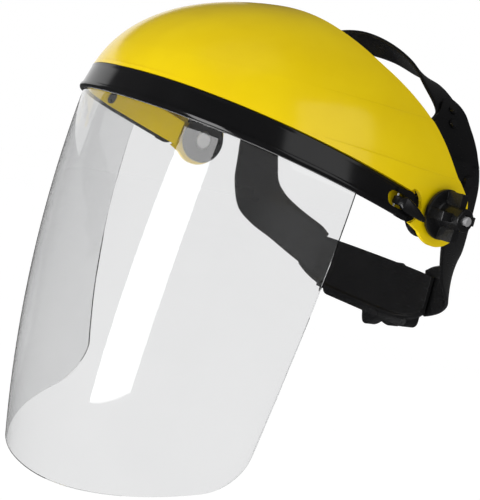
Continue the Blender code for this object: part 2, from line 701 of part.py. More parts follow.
def crown_straps(headgear):
    """Two straps that overlap above the wearer's left temple, held by two pegs."""
    short = ribbon(bmesh.new(), crown_path(0.0, 0.24, 12), STRAP_THICK)
    left = finish("crown_strap_left", short, black(), parent=headgear)
    long = ribbon(bmesh.new(), crown_path(0.1, 1.0, 28, -STRAP_THICK - 2 * GAP), STRAP_THICK)
    right = finish("crown_strap_right", long, black(), parent=headgear)
    for i, share in enumerate((0.15, 0.2), 1):
        front, rear, outward = crown_path(share, share, 1)[0]
        middle = (front + rear) / 2
        across = (rear - front).normalized()
        other = outward.cross(across).normalized()

        def place(a, b, d):
            return middle + across * a + other * b + outward * d
        peg = [(3.2, -6.2), (3.4, -4.5), (1.7, -4.5), (1.7, 1.5), (2.6, 1.5), (2.2, 2.6)]
        finish("crown_peg_%d" % i, turned(bmesh.new(), peg, count=12, place=place), black(),
               parent=headgear)
        for target, label in ((left, "left"), (right, "right")):
            hole = turned(bmesh.new(), [(2.0, -8), (2.0, 8)], count=12, place=place)
            cut(target, finish("cut_crown_%s_%d" % (label, i), hole, black()))


def forehead_point(angle, inset=0.0):
    """Plan of the forehead band: angle 0 at the front, 90 degrees at the temples."""
    s, c = math.sin(angle), math.cos(angle)
    return ((97.5 - inset) * math.copysign(abs(s) ** 0.86, s),
            (FOREHEAD_Y + inset) * abs(c) ** 0.86)


def forehead_height(angle):
    return 21.0 + 26.0 * math.cos(angle) ** 1.3


def forehead_band(headgear):
    """Front half of the head loop, from temple plate to temple plate, higher at the forehead."""
    reach = math.radians(84)
    loops, pad = [], []
    for i in range(31):
        angle = -reach + 2 * reach * i / 30
        z = forehead_height(angle)
        half = 8.0 + 7.0 * math.cos(angle)
        loop = []
        for inset, dz in ((0, -half), (0, half), (STRAP_THICK, half), (STRAP_THICK, -half)):
            x, y = forehead_point(angle, inset)
            loop.append(Vector((x, y, z + dz)))
        loops.append(loop)
    band = finish("forehead_band", skin(bmesh.new(), loops), black(), parent=headgear)
    for name, side in sides():
        y, z = TEMPLE_RIVETS[0]
        temple_hole(band, "forehead_" + name, side, y, z)
    reach = math.radians(62)
    for i in range(25):
        angle = -reach + 2 * reach * i / 24
        z = forehead_height(angle)
        taper = 1 - 0.35 * abs(i / 12 - 1) ** 4
        half = (7.0 + 7.0 * math.cos(angle)) * taper
        deep = STRAP_THICK + GAP + 6.0 * taper
        loop = []
        for inset, dz in ((STRAP_THICK + GAP, -half), (STRAP_THICK + GAP, half),
                          (deep - 1.5, half), (deep, half * 0.6), (deep, -half * 0.6),
                          (deep - 1.5, -half)):
            x, y = forehead_point(angle, inset)
            loop.append(Vector((x, y, z + dz)))
        pad.append(loop)
    finish("sweatband", skin(bmesh.new(), pad), foam(), parent=headgear)


# ---------------------------------------------------------------- nape ratchet
BASE_IN, BASE_OUT = 80.9, 82.7      # distances behind the tilt axis, along Y
COVER_OUT = 92.0
COVER_WALL = 1.8
COVER_HALF_WIDTH = 41.0
COVER_HALF_HEIGHT = 12.8
GEAR_IN, GEAR_OUT = 83.6, 88.2
KNOB_REAR_IN, KNOB_REAR_OUT = 92.4, 105.0
RATCHET_KNOB_RADIUS = 24.0
RATCHET_KNOB_LOBES = 6
RATCHET_LOBE_DEPTH = 5.5
RATCHET_LOBE_TURN = math.radians(14)
RACK_BACKLASH = 0.25


def nape_place(a, b, d):
    """Outline about the ratchet's axis, distance along Y."""
    return Vector((a, d, RATCHET_Z + b))


def rounded_rectangle(half_width, half_height, radius, count=4):
    x, z = half_width - radius, half_height - radius
    return (arc((x, z), radius, 0, 90, count) + arc((-x, z), radius, 90, 180, count)
            + arc((-x, -z), radius, 180, 270, count) + arc((x, -z), radius, 270, 360, count))


def involute(base, roll):
    """Radius and polar angle of an involute point."""
    return base * math.hypot(1, roll), roll - math.atan(roll)


def gear_outline():
    """Stub-tooth involute pinion with a tooth gap facing +Z."""
    base = GEAR_RADIUS * math.cos(math.radians(20))
    tip, root = GEAR_RADIUS + 0.8 * GEAR_MODULE, GEAR_RADIUS - 1.1 * GEAR_MODULE
    pitch_angle = involute(base, math.tan(math.radians(20)))[1]
    half = math.pi / (2 * GEAR_TEETH) - RACK_BACKLASH / 2 / GEAR_RADIUS
    flank = []
    for i in range(3):
        roll = math.sqrt((tip / base) ** 2 - 1) * i / 2
        radius, angle = involute(base, roll)
        flank.append((radius, half + pitch_angle - angle))
    points = []
    for k in range(GEAR_TEETH):
        middle = math.pi / 2 + (k + 0.5) * 2 * math.pi / GEAR_TEETH
        side_a = [(root, middle - flank[0][1] - 0.02)] + [(r, middle - a) for r, a in flank]
        side_b = [(r, middle + a) for r, a in reversed(flank)] + [(root, middle + flank[0][1] + 0.02)]
        points += [(r * math.cos(a), r * math.sin(a)) for r, a in side_a + side_b]
    return points


def rack_outline(low, high, tooth_low, tooth_high):
    """Rack with its teeth facing down to the pinion; a tooth is centred on X = 0."""
    pitch = math.pi * GEAR_MODULE
    tan = math.tan(math.radians(20))
    tip, root = GEAR_RADIUS - 0.8 * GEAR_MODULE, GEAR_RADIUS + 1.1 * GEAR_MODULE
    half = pitch / 4 - RACK_BACKLASH / 2
    first, last = math.ceil(tooth_low / pitch), math.floor(tooth_high / pitch)
    points = [(low, root)]
    for k in range(first, last + 1):
        x = k * pitch
        wide = half + tan * (root - GEAR_RADIUS)
        narrow = half - tan * (GEAR_RADIUS - tip)
        points += [(x - wide, root), (x - narrow, tip), (x + narrow, tip), (x + wide, root)]
    return points + [(high, root), (high, root + 3.2), (low, root + 3.2)]


def ratchet(headgear):
    base = prism(bmesh.new(), rounded_rectangle(COVER_HALF_WIDTH, COVER_HALF_HEIGHT, 5), BASE_IN,
                 BASE_OUT, nape_place)
    finish("ratchet_base", base, black(), parent=headgear)

    cover = prism(bmesh.new(), rounded_rectangle(COVER_HALF_WIDTH, COVER_HALF_HEIGHT, 5),
                  BASE_OUT + GAP, COVER_OUT, nape_place)
    cover = finish("ratchet_cover", cover, black(), parent=headgear)
    inside = rounded_rectangle(COVER_HALF_WIDTH - COVER_WALL, COVER_HALF_HEIGHT - COVER_WALL, 3.5)
    cut(cover, finish("cut_cover_inside", prism(bmesh.new(), inside, BASE_OUT - 1,
                                                COVER_OUT - COVER_WALL, nape_place), black()))
    shaft_hole = prism(bmesh.new(), circle(3.6), 85, 100, nape_place)
    cut(cover, finish("cut_cover_shaft", shaft_hole, black()))
    for name, side in sides():
        low, high = GEAR_RADIUS + 0.6, GEAR_RADIUS + 4.8
        outline = [(side * 30, side * low), (side * 60, side * low), (side * 60, side * high),
                   (side * 30, side * high)]
        slot = prism(bmesh.new(), outline, GEAR_IN - 0.5, GEAR_OUT - 0.4, nape_place)
        cut(cover, finish("cut_cover_slot_" + name, slot, black()))

        slide = pivot_empty("slide_rack_" + name, (0, GEAR_IN, RATCHET_Z), headgear)
        bar = rack_outline(-22.0, 50.0, -20.0, 20.0)
        bar = [(side * a, side * b) for a, b in bar]
        finish("rack_" + name, prism(bmesh.new(), bar, GEAR_IN, GEAR_OUT - 1.0, nape_place), black(),
               (0, GEAR_IN, RATCHET_Z), slide)

    turn = pivot_empty("turn_ratchet", (0, GEAR_IN, RATCHET_Z), headgear)
    pinion = finish("ratchet_pinion", prism(bmesh.new(), gear_outline(), GEAR_IN, GEAR_OUT, nape_place),
                    black(), (0, GEAR_IN, RATCHET_Z), turn)
    shaft = prism(bmesh.new(), circle(3.2), GEAR_IN + 2, 98.0, nape_place)
    cut(pinion, finish("join_shaft", shaft, black()), "UNION")
    pilot = prism(bmesh.new(), circle(1.6, 12), 92.0, 100.0, nape_place)
    cut(pinion, finish("cut_pilot", pilot, black()))

    grip = []
    count = 60
    for i in range(count):
        angle = 2 * math.pi * i / count
        lobe = (0.5 + 0.5 * math.cos(RATCHET_KNOB_LOBES * (angle - RATCHET_LOBE_TURN))) ** 2
        radius = RATCHET_KNOB_RADIUS - RATCHET_LOBE_DEPTH * (1 - lobe)
        grip.append((radius * math.cos(angle), radius * math.sin(angle)))
    knob = bmesh.new()
    rows = ((0.96, KNOB_REAR_IN), (1.0, KNOB_REAR_OUT - 2.5), (0.84, KNOB_REAR_OUT))
    skin(knob, [[nape_place(a * scale, b * scale, d) for a, b in grip] for scale, d in rows])
    knob = finish("ratchet_knob", knob, black(), (0, GEAR_IN, RATCHET_Z), turn)
    cut(knob, finish("cut_knob_shaft", prism(bmesh.new(), circle(3.5), 90.0, 98.4, nape_place), black()))
    cut(knob, finish("cut_knob_screw", prism(bmesh.new(), circle(1.9, 16), 97.0, 110.0, nape_place),
                     black()))
    cut(knob, finish("cut_knob_sink", prism(bmesh.new(), circle(4.2), 102.6, 110.0, nape_place), black()))
    screw = bmesh.new()
    skin(screw, [[nape_place(a, b, d) for a, b in circle(r, 16)] for r, d in
                 ((1.3, 92.6), (1.3, 102.9), (3.8, 102.9), (3.8, 103.9), (2.6, 104.8))])
    finish("knob_screw", screw, steel(), (0, GEAR_IN, RATCHET_Z), turn)

    leaf = [(7.6, -9.0), (8.4, -9.0), (8.4, 9.0), (7.6, 9.0), (7.6, 2.0), (7.15, 0.0), (7.6, -2.0)]
    leaf = [(a, b * 0.46) for a, b in leaf]
    finish("ratchet_pawl", prism(bmesh.new(), leaf, GEAR_IN + 0.4, GEAR_OUT + 1.6, nape_place),
           steel(), parent=headgear)


# ---------------------------------------------------------------- main
def main():
    for old in list(bpy.data.objects):
        bpy.data.objects.remove(old, do_unlink=True)
    headgear = pivot_empty("headgear", (0, 0, 0))
    visor = pivot_empty("visor_tilt", (0, 0, 0), headgear)
    shell = crown_shell(visor)
    brow_band(visor)
    sheet = window(visor)
    window_rivets(visor, shell, sheet)
    band_latches(visor)
    pivots(headgear)
    forehead_band(headgear)
    side_straps(headgear)
    nape_band(headgear)
    crown_straps(headgear)
    temple_rivets(headgear)
    ratchet(headgear)


main()
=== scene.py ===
"""Face shield: the visible pieces, materials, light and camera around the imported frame.

Shapes are worked out in millimetres in the part's frame: +X is the wearer's left, -Y is forwards,
+Z is up. They are turned into metres when a mesh is made.
"""
import math

import bmesh
import bpy
from mathutils import Matrix, Vector

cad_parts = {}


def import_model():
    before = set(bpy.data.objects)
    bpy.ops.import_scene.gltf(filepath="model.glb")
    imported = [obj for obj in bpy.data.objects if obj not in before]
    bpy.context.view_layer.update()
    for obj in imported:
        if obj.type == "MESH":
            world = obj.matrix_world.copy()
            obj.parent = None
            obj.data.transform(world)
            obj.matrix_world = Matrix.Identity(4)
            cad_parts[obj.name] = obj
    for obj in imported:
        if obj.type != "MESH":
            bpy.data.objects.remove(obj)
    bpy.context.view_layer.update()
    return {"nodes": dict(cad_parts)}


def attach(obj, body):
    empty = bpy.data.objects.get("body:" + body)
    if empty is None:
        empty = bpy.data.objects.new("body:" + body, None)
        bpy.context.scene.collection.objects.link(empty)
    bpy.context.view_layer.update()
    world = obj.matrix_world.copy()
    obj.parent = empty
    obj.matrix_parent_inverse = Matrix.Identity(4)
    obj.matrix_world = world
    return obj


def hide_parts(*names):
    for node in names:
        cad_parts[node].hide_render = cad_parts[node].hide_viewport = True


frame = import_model()

MM = 0.001
GAP = 0.3                       # clearance between neighbouring pieces

# brow rim
RIM_HALF_WIDTH, RIM_DEPTH, RIM_POWER = 118.0, 140.0, 2.36
RIM_APEX_Z, RIM_FALL, RIM_SAG, RIM_RUN = 18.8, 29.3, 6.1, 150.0

# brow band
BAND_HEIGHT, BAND_LEAN, BAND_THICK = 15.5, 4.4, 2.0
BAND_END_Y, BAND_END_RADIUS = -24.5, 9.3
SLOT_FRONT_Y, SLOT_REAR_Y, SLOT_HALF = -38.0, -25.0, 3.9
BAND_RIVET_ANGLES = (-0.92, -0.47, 0.0, 0.47, 0.92)
BAND_RIVET_HOLE, BAND_RIVET_SHARE = 2.6, 0.45   # hole radius, share of the band's height
SIDE_SLOPE = math.radians(-13.0)

# window
WINDOW_THICK, WINDOW_TUCK = 1.0, 12.4
WINDOW_EDGE_TOP_Y, WINDOW_EDGE_LOW_Y = -56.0, -61.5
WINDOW_FOOT_HALF_WIDTH, WINDOW_FOOT_DEPTH, WINDOW_FOOT_POWER = 95.4, 123.3, 2.14
WINDOW_FOOT_CENTRE_Y, WINDOW_FOOT_Z, WINDOW_FOOT_RISE = -20.6, -186.8, 43.4
WINDOW_CORNER, WINDOW_CORNER_SHARE, WINDOW_HALF_RUN = 20.0, 0.154, 130.0
WINDOW_BULGE, WINDOW_MEAN_REACH = 6.0, 120.0

# crown shell
SHELL_HALF_WIDTH, SHELL_DEPTH, SHELL_RISE = 116.5, 140.0, 92.0
SHELL_SIDE_POWER, SHELL_WALL, SHELL_RIM_WALL = 2.4, 2.4, 2.2
SHELL_BELOW = 300.0             # how slowly the dome closes below the tilt axis
DOME_FOOT, DOME_TOP_SHARE = -26.0, 0.9995
SIDE_CUT_FRONT, SIDE_CUT_TOP = -150.0, 99.0
EAR_RADIUS, EAR_Y, EAR_Z = 19.0, 2.0, 1.0
RIDGE_STEP, RIDGE_RAMP, RIDGE_FADE = 0.55, 1.1, 17.0
RIDGE_LOW, RIDGE_LOW_FALL, RIDGE_HIGH, RIDGE_HIGH_FALL = 23.6, 5.2, 46.5, 1.5

# pivots
KNOB_IN, FLANGE_OUT, KNOB_OUT, BOSS_OUT = 117.4, 120.6, 131.5, 134.6
BOLT_RADIUS, FLANGE_RADIUS, BOSS_RADIUS, WING_HALF = 2.5, 13.5, 6.0, 2.8
BOSS_MOUTH, INSERT_POCKET = 3.0, 4.3
RIVET_RADIUS = 1.8
TEMPLE_RIVETS = ((-9.0, 21.0), (26.0, 19.0))

# latches
LATCH_Y, LATCH_BORE = -31.5, 0.75
LATCH_DROP, LATCH_BEND = 0.22, 2.0   # the leaf runs down from the band behind its hinge

# headgear
LOOP_HALF_WIDTH, LOOP_CENTRE_Y, LOOP_REACH, LOOP_POWER = 99.5, 20.0, 63.0, 2.6
STRAP_THICK = 2.0
NAPE_TOP, NAPE_FOOT, NAPE_END_RISE, NAPE_HALF = -43.0, -77.5, 11.0, 63.0
FOREHEAD_HALF_WIDTH, FOREHEAD_Y, FOREHEAD_ROUND = 97.5, -93.0, 0.86
FOREHEAD_LOW, FOREHEAD_RISE, FOREHEAD_REACH = 21.0, 26.0, math.radians(84)
CROWN_STEPS = 384               # steps from one foot of the crown strap to the other
CROWN_ROUNDED = 18              # stations over which the short half rounds off
CROWN_PEG_SHARES, CROWN_PEG_HOLE = (0.15, 0.2), 2.0

# sweatband
PAD_REACH, PAD_BACK, PAD_DEPTH = math.radians(62), STRAP_THICK + GAP, 6.0
PAD_MEAN_RADIUS, PAD_VOXEL = 95.0, 2.0
SWELL_CAP, SWELL_PRESSURE, SWELL_FRAMES = 1.4, 4.0, 20
SEAM_PITCH, SEAM_HALF_WIDTH, SEAM_DEPTH = math.radians(13.5), 1.5, 1.5

# ratchet
RATCHET_Z = -68.5
BASE_OUT, COVER_OUT, COVER_WALL = 82.7, 92.0, 1.8
COVER_HALF_WIDTH, COVER_HALF_HEIGHT = 41.0, 12.8
RATCHET_KNOB_IN, RATCHET_KNOB_OUT = 92.4, 105.0
RATCHET_KNOB_RADIUS, RATCHET_LOBES, RATCHET_LOBE_DEPTH = 24.0, 6, 5.5
RATCHET_LOBE_TURN = math.radians(14)

# stage, light and camera
FLOOR_Z, FLOOR_HALF, FLOOR_GLOW = -620.0, 6000.0, 0.95
WORLD_REFLECTED, WORLD_DIFFUSE = 0.07, 0.48
CAMERA_LENS, CAMERA_SENSOR = 78.658, 36.0
CAMERA_PLACE = Vector((503.038, -434.373, 27.937))
CAMERA_RIGHT = Vector((0.581946, 0.775342, 0.245324))
CAMERA_UP = Vector((-0.249878, -0.116590, 0.961232))
CAMERA_BACK = Vector((0.773886, -0.620687, 0.125892))

SIDES = (("left", 1), ("right", -1))


# ---------------------------------------------------------------- materials
BUMP_DEPTH, WEAVE_DEPTH, SHEET_WAVE_DEPTH = 0.00003, 0.0003, 0.0004     # metres
SMEAR_RATIO = 2.3               # how much finer the roughness varies than the colour
SCRATCH_SCALE, SCRATCH_STRETCH = 190.0, (1.0, 1.0, 22.0)


def node(tree, kind, **values):
    """New shader node with the given settings."""
    made = tree.nodes.new(kind)
    for key, value in values.items():
        setattr(made, key, value)
    return made


def noise_node(tree, coords, scale, detail=3.0, stretch=(1, 1, 1)):
    """Noise in object space; scale is in features per metre."""
    mapping = node(tree, "ShaderNodeMapping")
    mapping.inputs["Scale"].default_value = stretch
    tree.links.new(coords, mapping.inputs["Vector"])
    made = node(tree, "ShaderNodeTexNoise")
    made.inputs["Scale"].default_value = scale
    made.inputs["Detail"].default_value = detail
    tree.links.new(mapping.outputs["Vector"], made.inputs["Vector"])
    return made.outputs["Fac"]


def spread(tree, value, low, high, start=0.3, end=0.7):
    """Carry a value's range from start to end over to low to high."""
    made = node(tree, "ShaderNodeMapRange")
    for key, number in (("From Min", start), ("From Max", end), ("To Min", low), ("To Max", high)):
        made.inputs[key].default_value = number
    tree.links.new(value, made.inputs["Value"])
    return made.outputs["Result"]


def surface(name, dark, light, rough, grain, bump, mottle=28.0, metallic=0.0, stretch=(1, 1, 1),
            sheen=0.0, scratches=0.0, specular=0.5):
    """Opaque material: two close colours mottled by noise, varied roughness and a fine bump."""
    made = bpy.data.materials.new(name)
    made.use_nodes = True
    tree = made.node_tree
    shader = tree.nodes["Principled BSDF"]
    coords = node(tree, "ShaderNodeTexCoord").outputs["Object"]
    blotches = noise_node(tree, coords, mottle)
    colour = node(tree, "ShaderNodeMix", data_type="RGBA")
    colour.inputs["A"].default_value = (*dark, 1)
    colour.inputs["B"].default_value = (*light, 1)
    tree.links.new(spread(tree, blotches, 0.0, 1.0), colour.inputs["Factor"])
    tree.links.new(colour.outputs["Result"], shader.inputs["Base Color"])
    smears = noise_node(tree, coords, mottle * SMEAR_RATIO, 5.0, stretch)
    roughness = spread(tree, smears, rough[0], rough[1])
    height = noise_node(tree, coords, grain, 2.0, stretch)
    if scratches:
        lines = noise_node(tree, coords, SCRATCH_SCALE, 2.0, SCRATCH_STRETCH)
        mark = spread(tree, lines, 0.0, scratches, 0.66, 0.74)
        total = node(tree, "ShaderNodeMath", operation="ADD")
        tree.links.new(roughness, total.inputs[0])
        tree.links.new(mark, total.inputs[1])
        roughness = total.outputs["Value"]
    tree.links.new(roughness, shader.inputs["Roughness"])
    relief = node(tree, "ShaderNodeBump")
    relief.inputs["Strength"].default_value = bump
    relief.inputs["Distance"].default_value = BUMP_DEPTH
    tree.links.new(height, relief.inputs["Height"])
    tree.links.new(relief.outputs["Normal"], shader.inputs["Normal"])
    shader.inputs["Metallic"].default_value = metallic
    shader.inputs["Specular IOR Level"].default_value = specular
    shader.inputs["Sheen Weight"].default_value = sheen
    shader.inputs["Sheen Roughness"].default_value = 0.5
    return made


def woven(name, dark, light):
    """Terry-faced foam: a fine two-way weave with fuzz over it."""
    made = surface(name, dark, light, (0.86, 0.98), 1500.0, 0.35, 160.0, sheen=0.35)
    tree = made.node_tree
    coords = next(n for n in tree.nodes if n.type == "TEX_COORD").outputs["Object"]
    relief = next(n for n in tree.nodes if n.type == "BUMP")
    threads = []
    for direction in ("X", "Z"):
        wave = node(tree, "ShaderNodeTexWave", bands_direction=direction)
        wave.inputs["Scale"].default_value = 190.0
        wave.inputs["Distortion"].default_value = 1.4
        wave.inputs["Detail Scale"].default_value = 3.0
        tree.links.new(coords, wave.inputs["Vector"])
        threads.append(wave.outputs["Fac"])
    both = node(tree, "ShaderNodeMath", operation="MULTIPLY")
    tree.links.new(threads[0], both.inputs[0])
    tree.links.new(threads[1], both.inputs[1])
    total = node(tree, "ShaderNodeMath", operation="ADD")
    tree.links.new(both.outputs["Value"], total.inputs[0])
    tree.links.new(relief.inputs["Height"].links[0].from_socket, total.inputs[1])
    tree.links.new(total.outputs["Value"], relief.inputs["Height"])
    relief.inputs["Distance"].default_value = WEAVE_DEPTH
    return made


def glass():
    """Clear sheet: refracts what is seen through it, and lets light through to what is behind."""
    made = bpy.data.materials.new("clear_sheet_glass")
    made.use_nodes = True
    tree = made.node_tree
    shader = tree.nodes["Principled BSDF"]
    shader.inputs["IOR"].default_value = 1.5
    shader.inputs["Transmission Weight"].default_value = 1.0
    coords = node(tree, "ShaderNodeTexCoord").outputs["Object"]
    haze = noise_node(tree, coords, 14.0, 4.0)
    tint = node(tree, "ShaderNodeMix", data_type="RGBA")
    tint.inputs["A"].default_value = (0.80, 0.803, 0.807, 1)
    tint.inputs["B"].default_value = (0.825, 0.827, 0.83, 1)
    tree.links.new(spread(tree, haze, 0.0, 1.0), tint.inputs["Factor"])
    tree.links.new(tint.outputs["Result"], shader.inputs["Base Color"])
    tree.links.new(spread(tree, haze, 0.012, 0.03), shader.inputs["Roughness"])
    relief = node(tree, "ShaderNodeBump")
    relief.inputs["Strength"].default_value = 0.12
    relief.inputs["Distance"].default_value = SHEET_WAVE_DEPTH
    tree.links.new(noise_node(tree, coords, 9.0, 1.0), relief.inputs["Height"])
    tree.links.new(relief.outputs["Normal"], shader.inputs["Normal"])
    through = node(tree, "ShaderNodeBsdfTransparent")
    through.inputs["Color"].default_value = (0.86, 0.865, 0.87, 1)
    both = node(tree, "ShaderNodeMixShader")
    path = node(tree, "ShaderNodeLightPath")
    tree.links.new(path.outputs["Is Shadow Ray"], both.inputs["Fac"])
    tree.links.new(shader.outputs["BSDF"], both.inputs[1])
    tree.links.new(through.outputs["BSDF"], both.inputs[2])
    tree.links.new(both.outputs["Shader"], tree.nodes["Material Output"].inputs["Surface"])
    return made


YELLOW = surface("crown_yellow_moulded", (0.82, 0.585, 0.001), (0.88, 0.645, 0.002), (0.15, 0.20),
                 420.0, 0.05, scratches=0.06, specular=0.4)
GLOSS = surface("black_plastic_gloss", (0.004, 0.004, 0.0045), (0.007, 0.007, 0.0075), (0.10, 0.17),
                520.0, 0.05, scratches=0.08, specular=0.42)
SATIN = surface("black_plastic_satin", (0.005, 0.005, 0.0055), (0.008, 0.008, 0.0085), (0.23, 0.29),
                900.0, 0.06, scratches=0.08, specular=0.42)
SOFT = surface("soft_black_plastic_grained", (0.005, 0.005, 0.0055), (0.008, 0.008, 0.0085),
               (0.22, 0.26), 700.0, 0.03, scratches=0.06, specular=0.27)
CLEAR = glass()
STEEL = surface("bright_steel_turned", (0.72, 0.72, 0.73), (0.86, 0.86, 0.87), (0.40, 0.55), 2600.0,
                0.10, 210.0, 0.8, (8, 1, 1), scratches=0.10)
BRASS = surface("brass_turned", (0.62, 0.42, 0.16), (0.78, 0.57, 0.26), (0.22, 0.38), 2200.0, 0.2,
                180.0, 1.0)
RUBBER = surface("grey_rubber_matt", (0.030, 0.030, 0.030), (0.055, 0.055, 0.054), (0.62, 0.8),
                 1500.0, 0.35, 90.0)
FOAM = woven("black_foam_terry", (0.018, 0.018, 0.020), (0.040, 0.040, 0.044))
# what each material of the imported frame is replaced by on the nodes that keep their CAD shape
NODE_FINISH = {"crown_yellow": YELLOW, "black_plastic": SATIN, "soft_black_plastic": SOFT,
               "clear_sheet": CLEAR, "bright_steel": STEEL, "brass": BRASS, "grey_rubber": RUBBER,
               "black_foam": FOAM}


# ---------------------------------------------------------------- mesh helpers
def mesh_object(name, bm):
    """Turn a bmesh in millimetres into an object in metres."""
    bmesh.ops.remove_doubles(bm, verts=bm.verts, dist=1e-4)
    bmesh.ops.recalc_face_normals(bm, faces=bm.faces)
    bmesh.ops.scale(bm, verts=bm.verts, vec=(MM, MM, MM))
    mesh = bpy.data.meshes.new(name)
    bm.to_mesh(mesh)
    bm.free()
    made = bpy.data.objects.new(name, mesh)
    bpy.context.scene.collection.objects.link(made)
    return made


def bake(obj):
    """Replace an object's mesh by what its modifiers make of it."""
    bpy.context.view_layer.update()
    graph = bpy.context.evaluated_depsgraph_get()
    mesh = bpy.data.meshes.new_from_object(obj.evaluated_get(graph))
    obj.modifiers.clear()
    obj.data = mesh
    return obj


def combine(target, bm, operation="DIFFERENCE"):
    """Cut, join or intersect with a closed bmesh, and apply it."""
    tool = mesh_object("tool", bm)
    step = target.modifiers.new("Boolean", "BOOLEAN")
    step.operation = operation
    step.solver = "EXACT"
    step.object = tool
    bake(target)
    bpy.data.objects.remove(tool)
    return target


def place_piece(obj, mat, body, replaced=(), edge=0.0, segments=3, corner=32.0, sharp=38.0):
    """Round the edges, shade, give a material, and hand the piece to its body."""
    obj.data.materials.clear()
    obj.data.materials.append(mat)
    if edge:
        bevel = obj.modifiers.new("Edge", "BEVEL")
        bevel.width = edge * MM
        bevel.segments = segments
        bevel.limit_method = "ANGLE"
        bevel.angle_limit = math.radians(corner)
        bevel.use_clamp_overlap = True
        bake(obj)
    obj.data.shade_smooth()
    obj.data.set_sharp_from_angle(angle=math.radians(sharp))
    weighted = obj.modifiers.new("Shading", "WEIGHTED_NORMAL")
    weighted.keep_sharp = True
    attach(obj, body)
    if replaced:
        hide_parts(*replaced)
    return obj


def skin(bm, loops, closed=False):
    """Join loops of equal count by quads, with caps at the ends or closed on itself."""
    rows = [[bm.verts.new(p) for p in loop] for loop in loops]
    count = len(rows[0])
    pairs = list(zip(rows, rows[1:]))
    if closed:
        pairs.append((rows[-1], rows[0]))
    for low, high in pairs:
        for i in range(count):
            j = (i + 1) % count
            bm.faces.new((low[i], low[j], high[j], high[i]))
    if not closed:
        bm.faces.new(rows[0][::-1])
        bm.faces.new(rows[-1])
    return bm


def prism(outline, distances, place):
    """Outline repeated at each distance; place(a, b, distance) puts a point in space."""
    return skin(bmesh.new(), [[place(a, b, d) for a, b in outline] for d in distances])


def yz(a, b, d):
    """Placing function: the outline lies in the YZ plane, at X = d."""
    return Vector((d, a, b))


def circle(radius, count=48):
    return [(radius * math.cos(2 * math.pi * i / count), radius * math.sin(2 * math.pi * i / count))
            for i in range(count)]


def arc(centre, radius, start, end, count):
    """Points on an arc between two angles in degrees, both ends included."""
    turns = [math.radians(start + (end - start) * i / count) for i in range(count + 1)]
    return [(centre[0] + radius * math.cos(t), centre[1] + radius * math.sin(t)) for t in turns]


def turned(profile, side=1, count=48, place=None):
    """Solid of revolution from (radius, distance) pairs, about X unless place says otherwise."""
    place = place or (lambda a, b, d: Vector((side * d, a, b)))
    return skin(bmesh.new(), [[place(a, b, d) for a, b in circle(r, count)] for r, d in profile])


def smooth_line(points, count):
    """Catmull-Rom curve through points, as count + 1 points."""
    points = [Vector(p) for p in points]
    ends = [points[0] * 2 - points[1]] + points + [points[-1] * 2 - points[-2]]
    spans = len(points) - 1
    made = []
    for i in range(count + 1):
        place = spans * i / count
        k = min(int(place), spans - 1)
        t = place - k
        a, b, c, d = ends[k:k + 4]
        made.append(((b * 2) + (c - a) * t + (a * 2 - b * 5 + c * 4 - d) * t * t
                     + (b * 3 - a - c * 3 + d) * t ** 3) * 0.5)
    return made


def smoothstep(x, low, high):
    t = min(1.0, max(0.0, (x - low) / (high - low)))
    return t * t * (3 - 2 * t)


# ---------------------------------------------------------------- rim curves
def rim_z(y):
    """Height of the brow rim's lower edge."""
    s = max(0.0, y + RIM_DEPTH) / RIM_RUN
    return RIM_APEX_Z - RIM_FALL * s - RIM_SAG * s * s


def rim_end(inset, y):
    """Angle at which the rim, set in by inset, reaches a given y."""
    return math.acos((-y / (RIM_DEPTH - inset)) ** (RIM_POWER / 2))


def oval(angle, half_width, depth, power, centre_y=0.0):
    """Point on the front half of a superellipse; angle 0 is straight ahead."""
    s, c = math.sin(angle), math.cos(angle)
    return (math.copysign(abs(s) ** (2 / power), s) * half_width,
            centre_y - abs(c) ** (2 / power) * depth)


def rim_point(angle, inset, rise):
    x, y = oval(angle, RIM_HALF_WIDTH - inset, RIM_DEPTH - inset, RIM_POWER)
    return Vector((x, y, rim_z(y) + rise))


def rim_loft(profile, end_y, count):
    """Sweep an (inset, rise) profile along the rim, from one end_y round to the other."""
    loops = []
    for i in range(count + 1):
        u = -1 + 2 * i / count
        loops.append([rim_point(u * rim_end(inset, end_y), inset, rise) for inset, rise in profile])
    return skin(bmesh.new(), loops)


# ---------------------------------------------------------------- crown shell
def dome_reach(turn, z, half_width, depth, rise):
    """Distance from the vertical axis to the dome at a plan angle and a height."""
    tall = rise if z > 0 else SHELL_BELOW
    s, c = abs(math.sin(turn)), abs(math.cos(turn))
    up = abs(z / tall) ** SHELL_SIDE_POWER
    low, high = 0.0, 200.0
    for _ in range(36):
        middle = (low + high) / 2
        ahead = (middle * c / depth) ** SHELL_SIDE_POWER + up
        value = (middle * s / half_width) ** RIM_POWER + ahead ** (RIM_POWER / SHELL_SIDE_POWER)
        if value < 1:
            low = middle
        else:
            high = middle
    return low


def ridge_heights(turn):
    """Heights of the two side ridges at a plan angle, lower one first."""
    back = smoothstep(math.degrees(abs(turn)), 45, 98)
    return RIDGE_LOW - RIDGE_LOW_FALL * back, RIDGE_HIGH - RIDGE_HIGH_FALL * back


def dome_row(part, share, low, high, rise):
    """Height on one of the dome's rows, and how far the surface steps in there, from 0 to 1."""
    if part == "foot":
        return DOME_FOOT + (low - DOME_FOOT) * share, 0.0
    if part == "low":
        return low + RIDGE_RAMP * share, share
    if part == "between":
        z = low + RIDGE_RAMP + (high - low - RIDGE_RAMP) * share
        return z, 1 - (z - low) / RIDGE_FADE
    if part == "high":
        return high + RIDGE_RAMP * share, share
    first, last = (math.asin(s ** (SHELL_SIDE_POWER / 2))
                   for s in ((high + RIDGE_RAMP) / rise, DOME_TOP_SHARE))
    z = math.sin(first + (last - first) * share) ** (2 / SHELL_SIDE_POWER) * rise
    return z, 1 - (z - high) / RIDGE_FADE


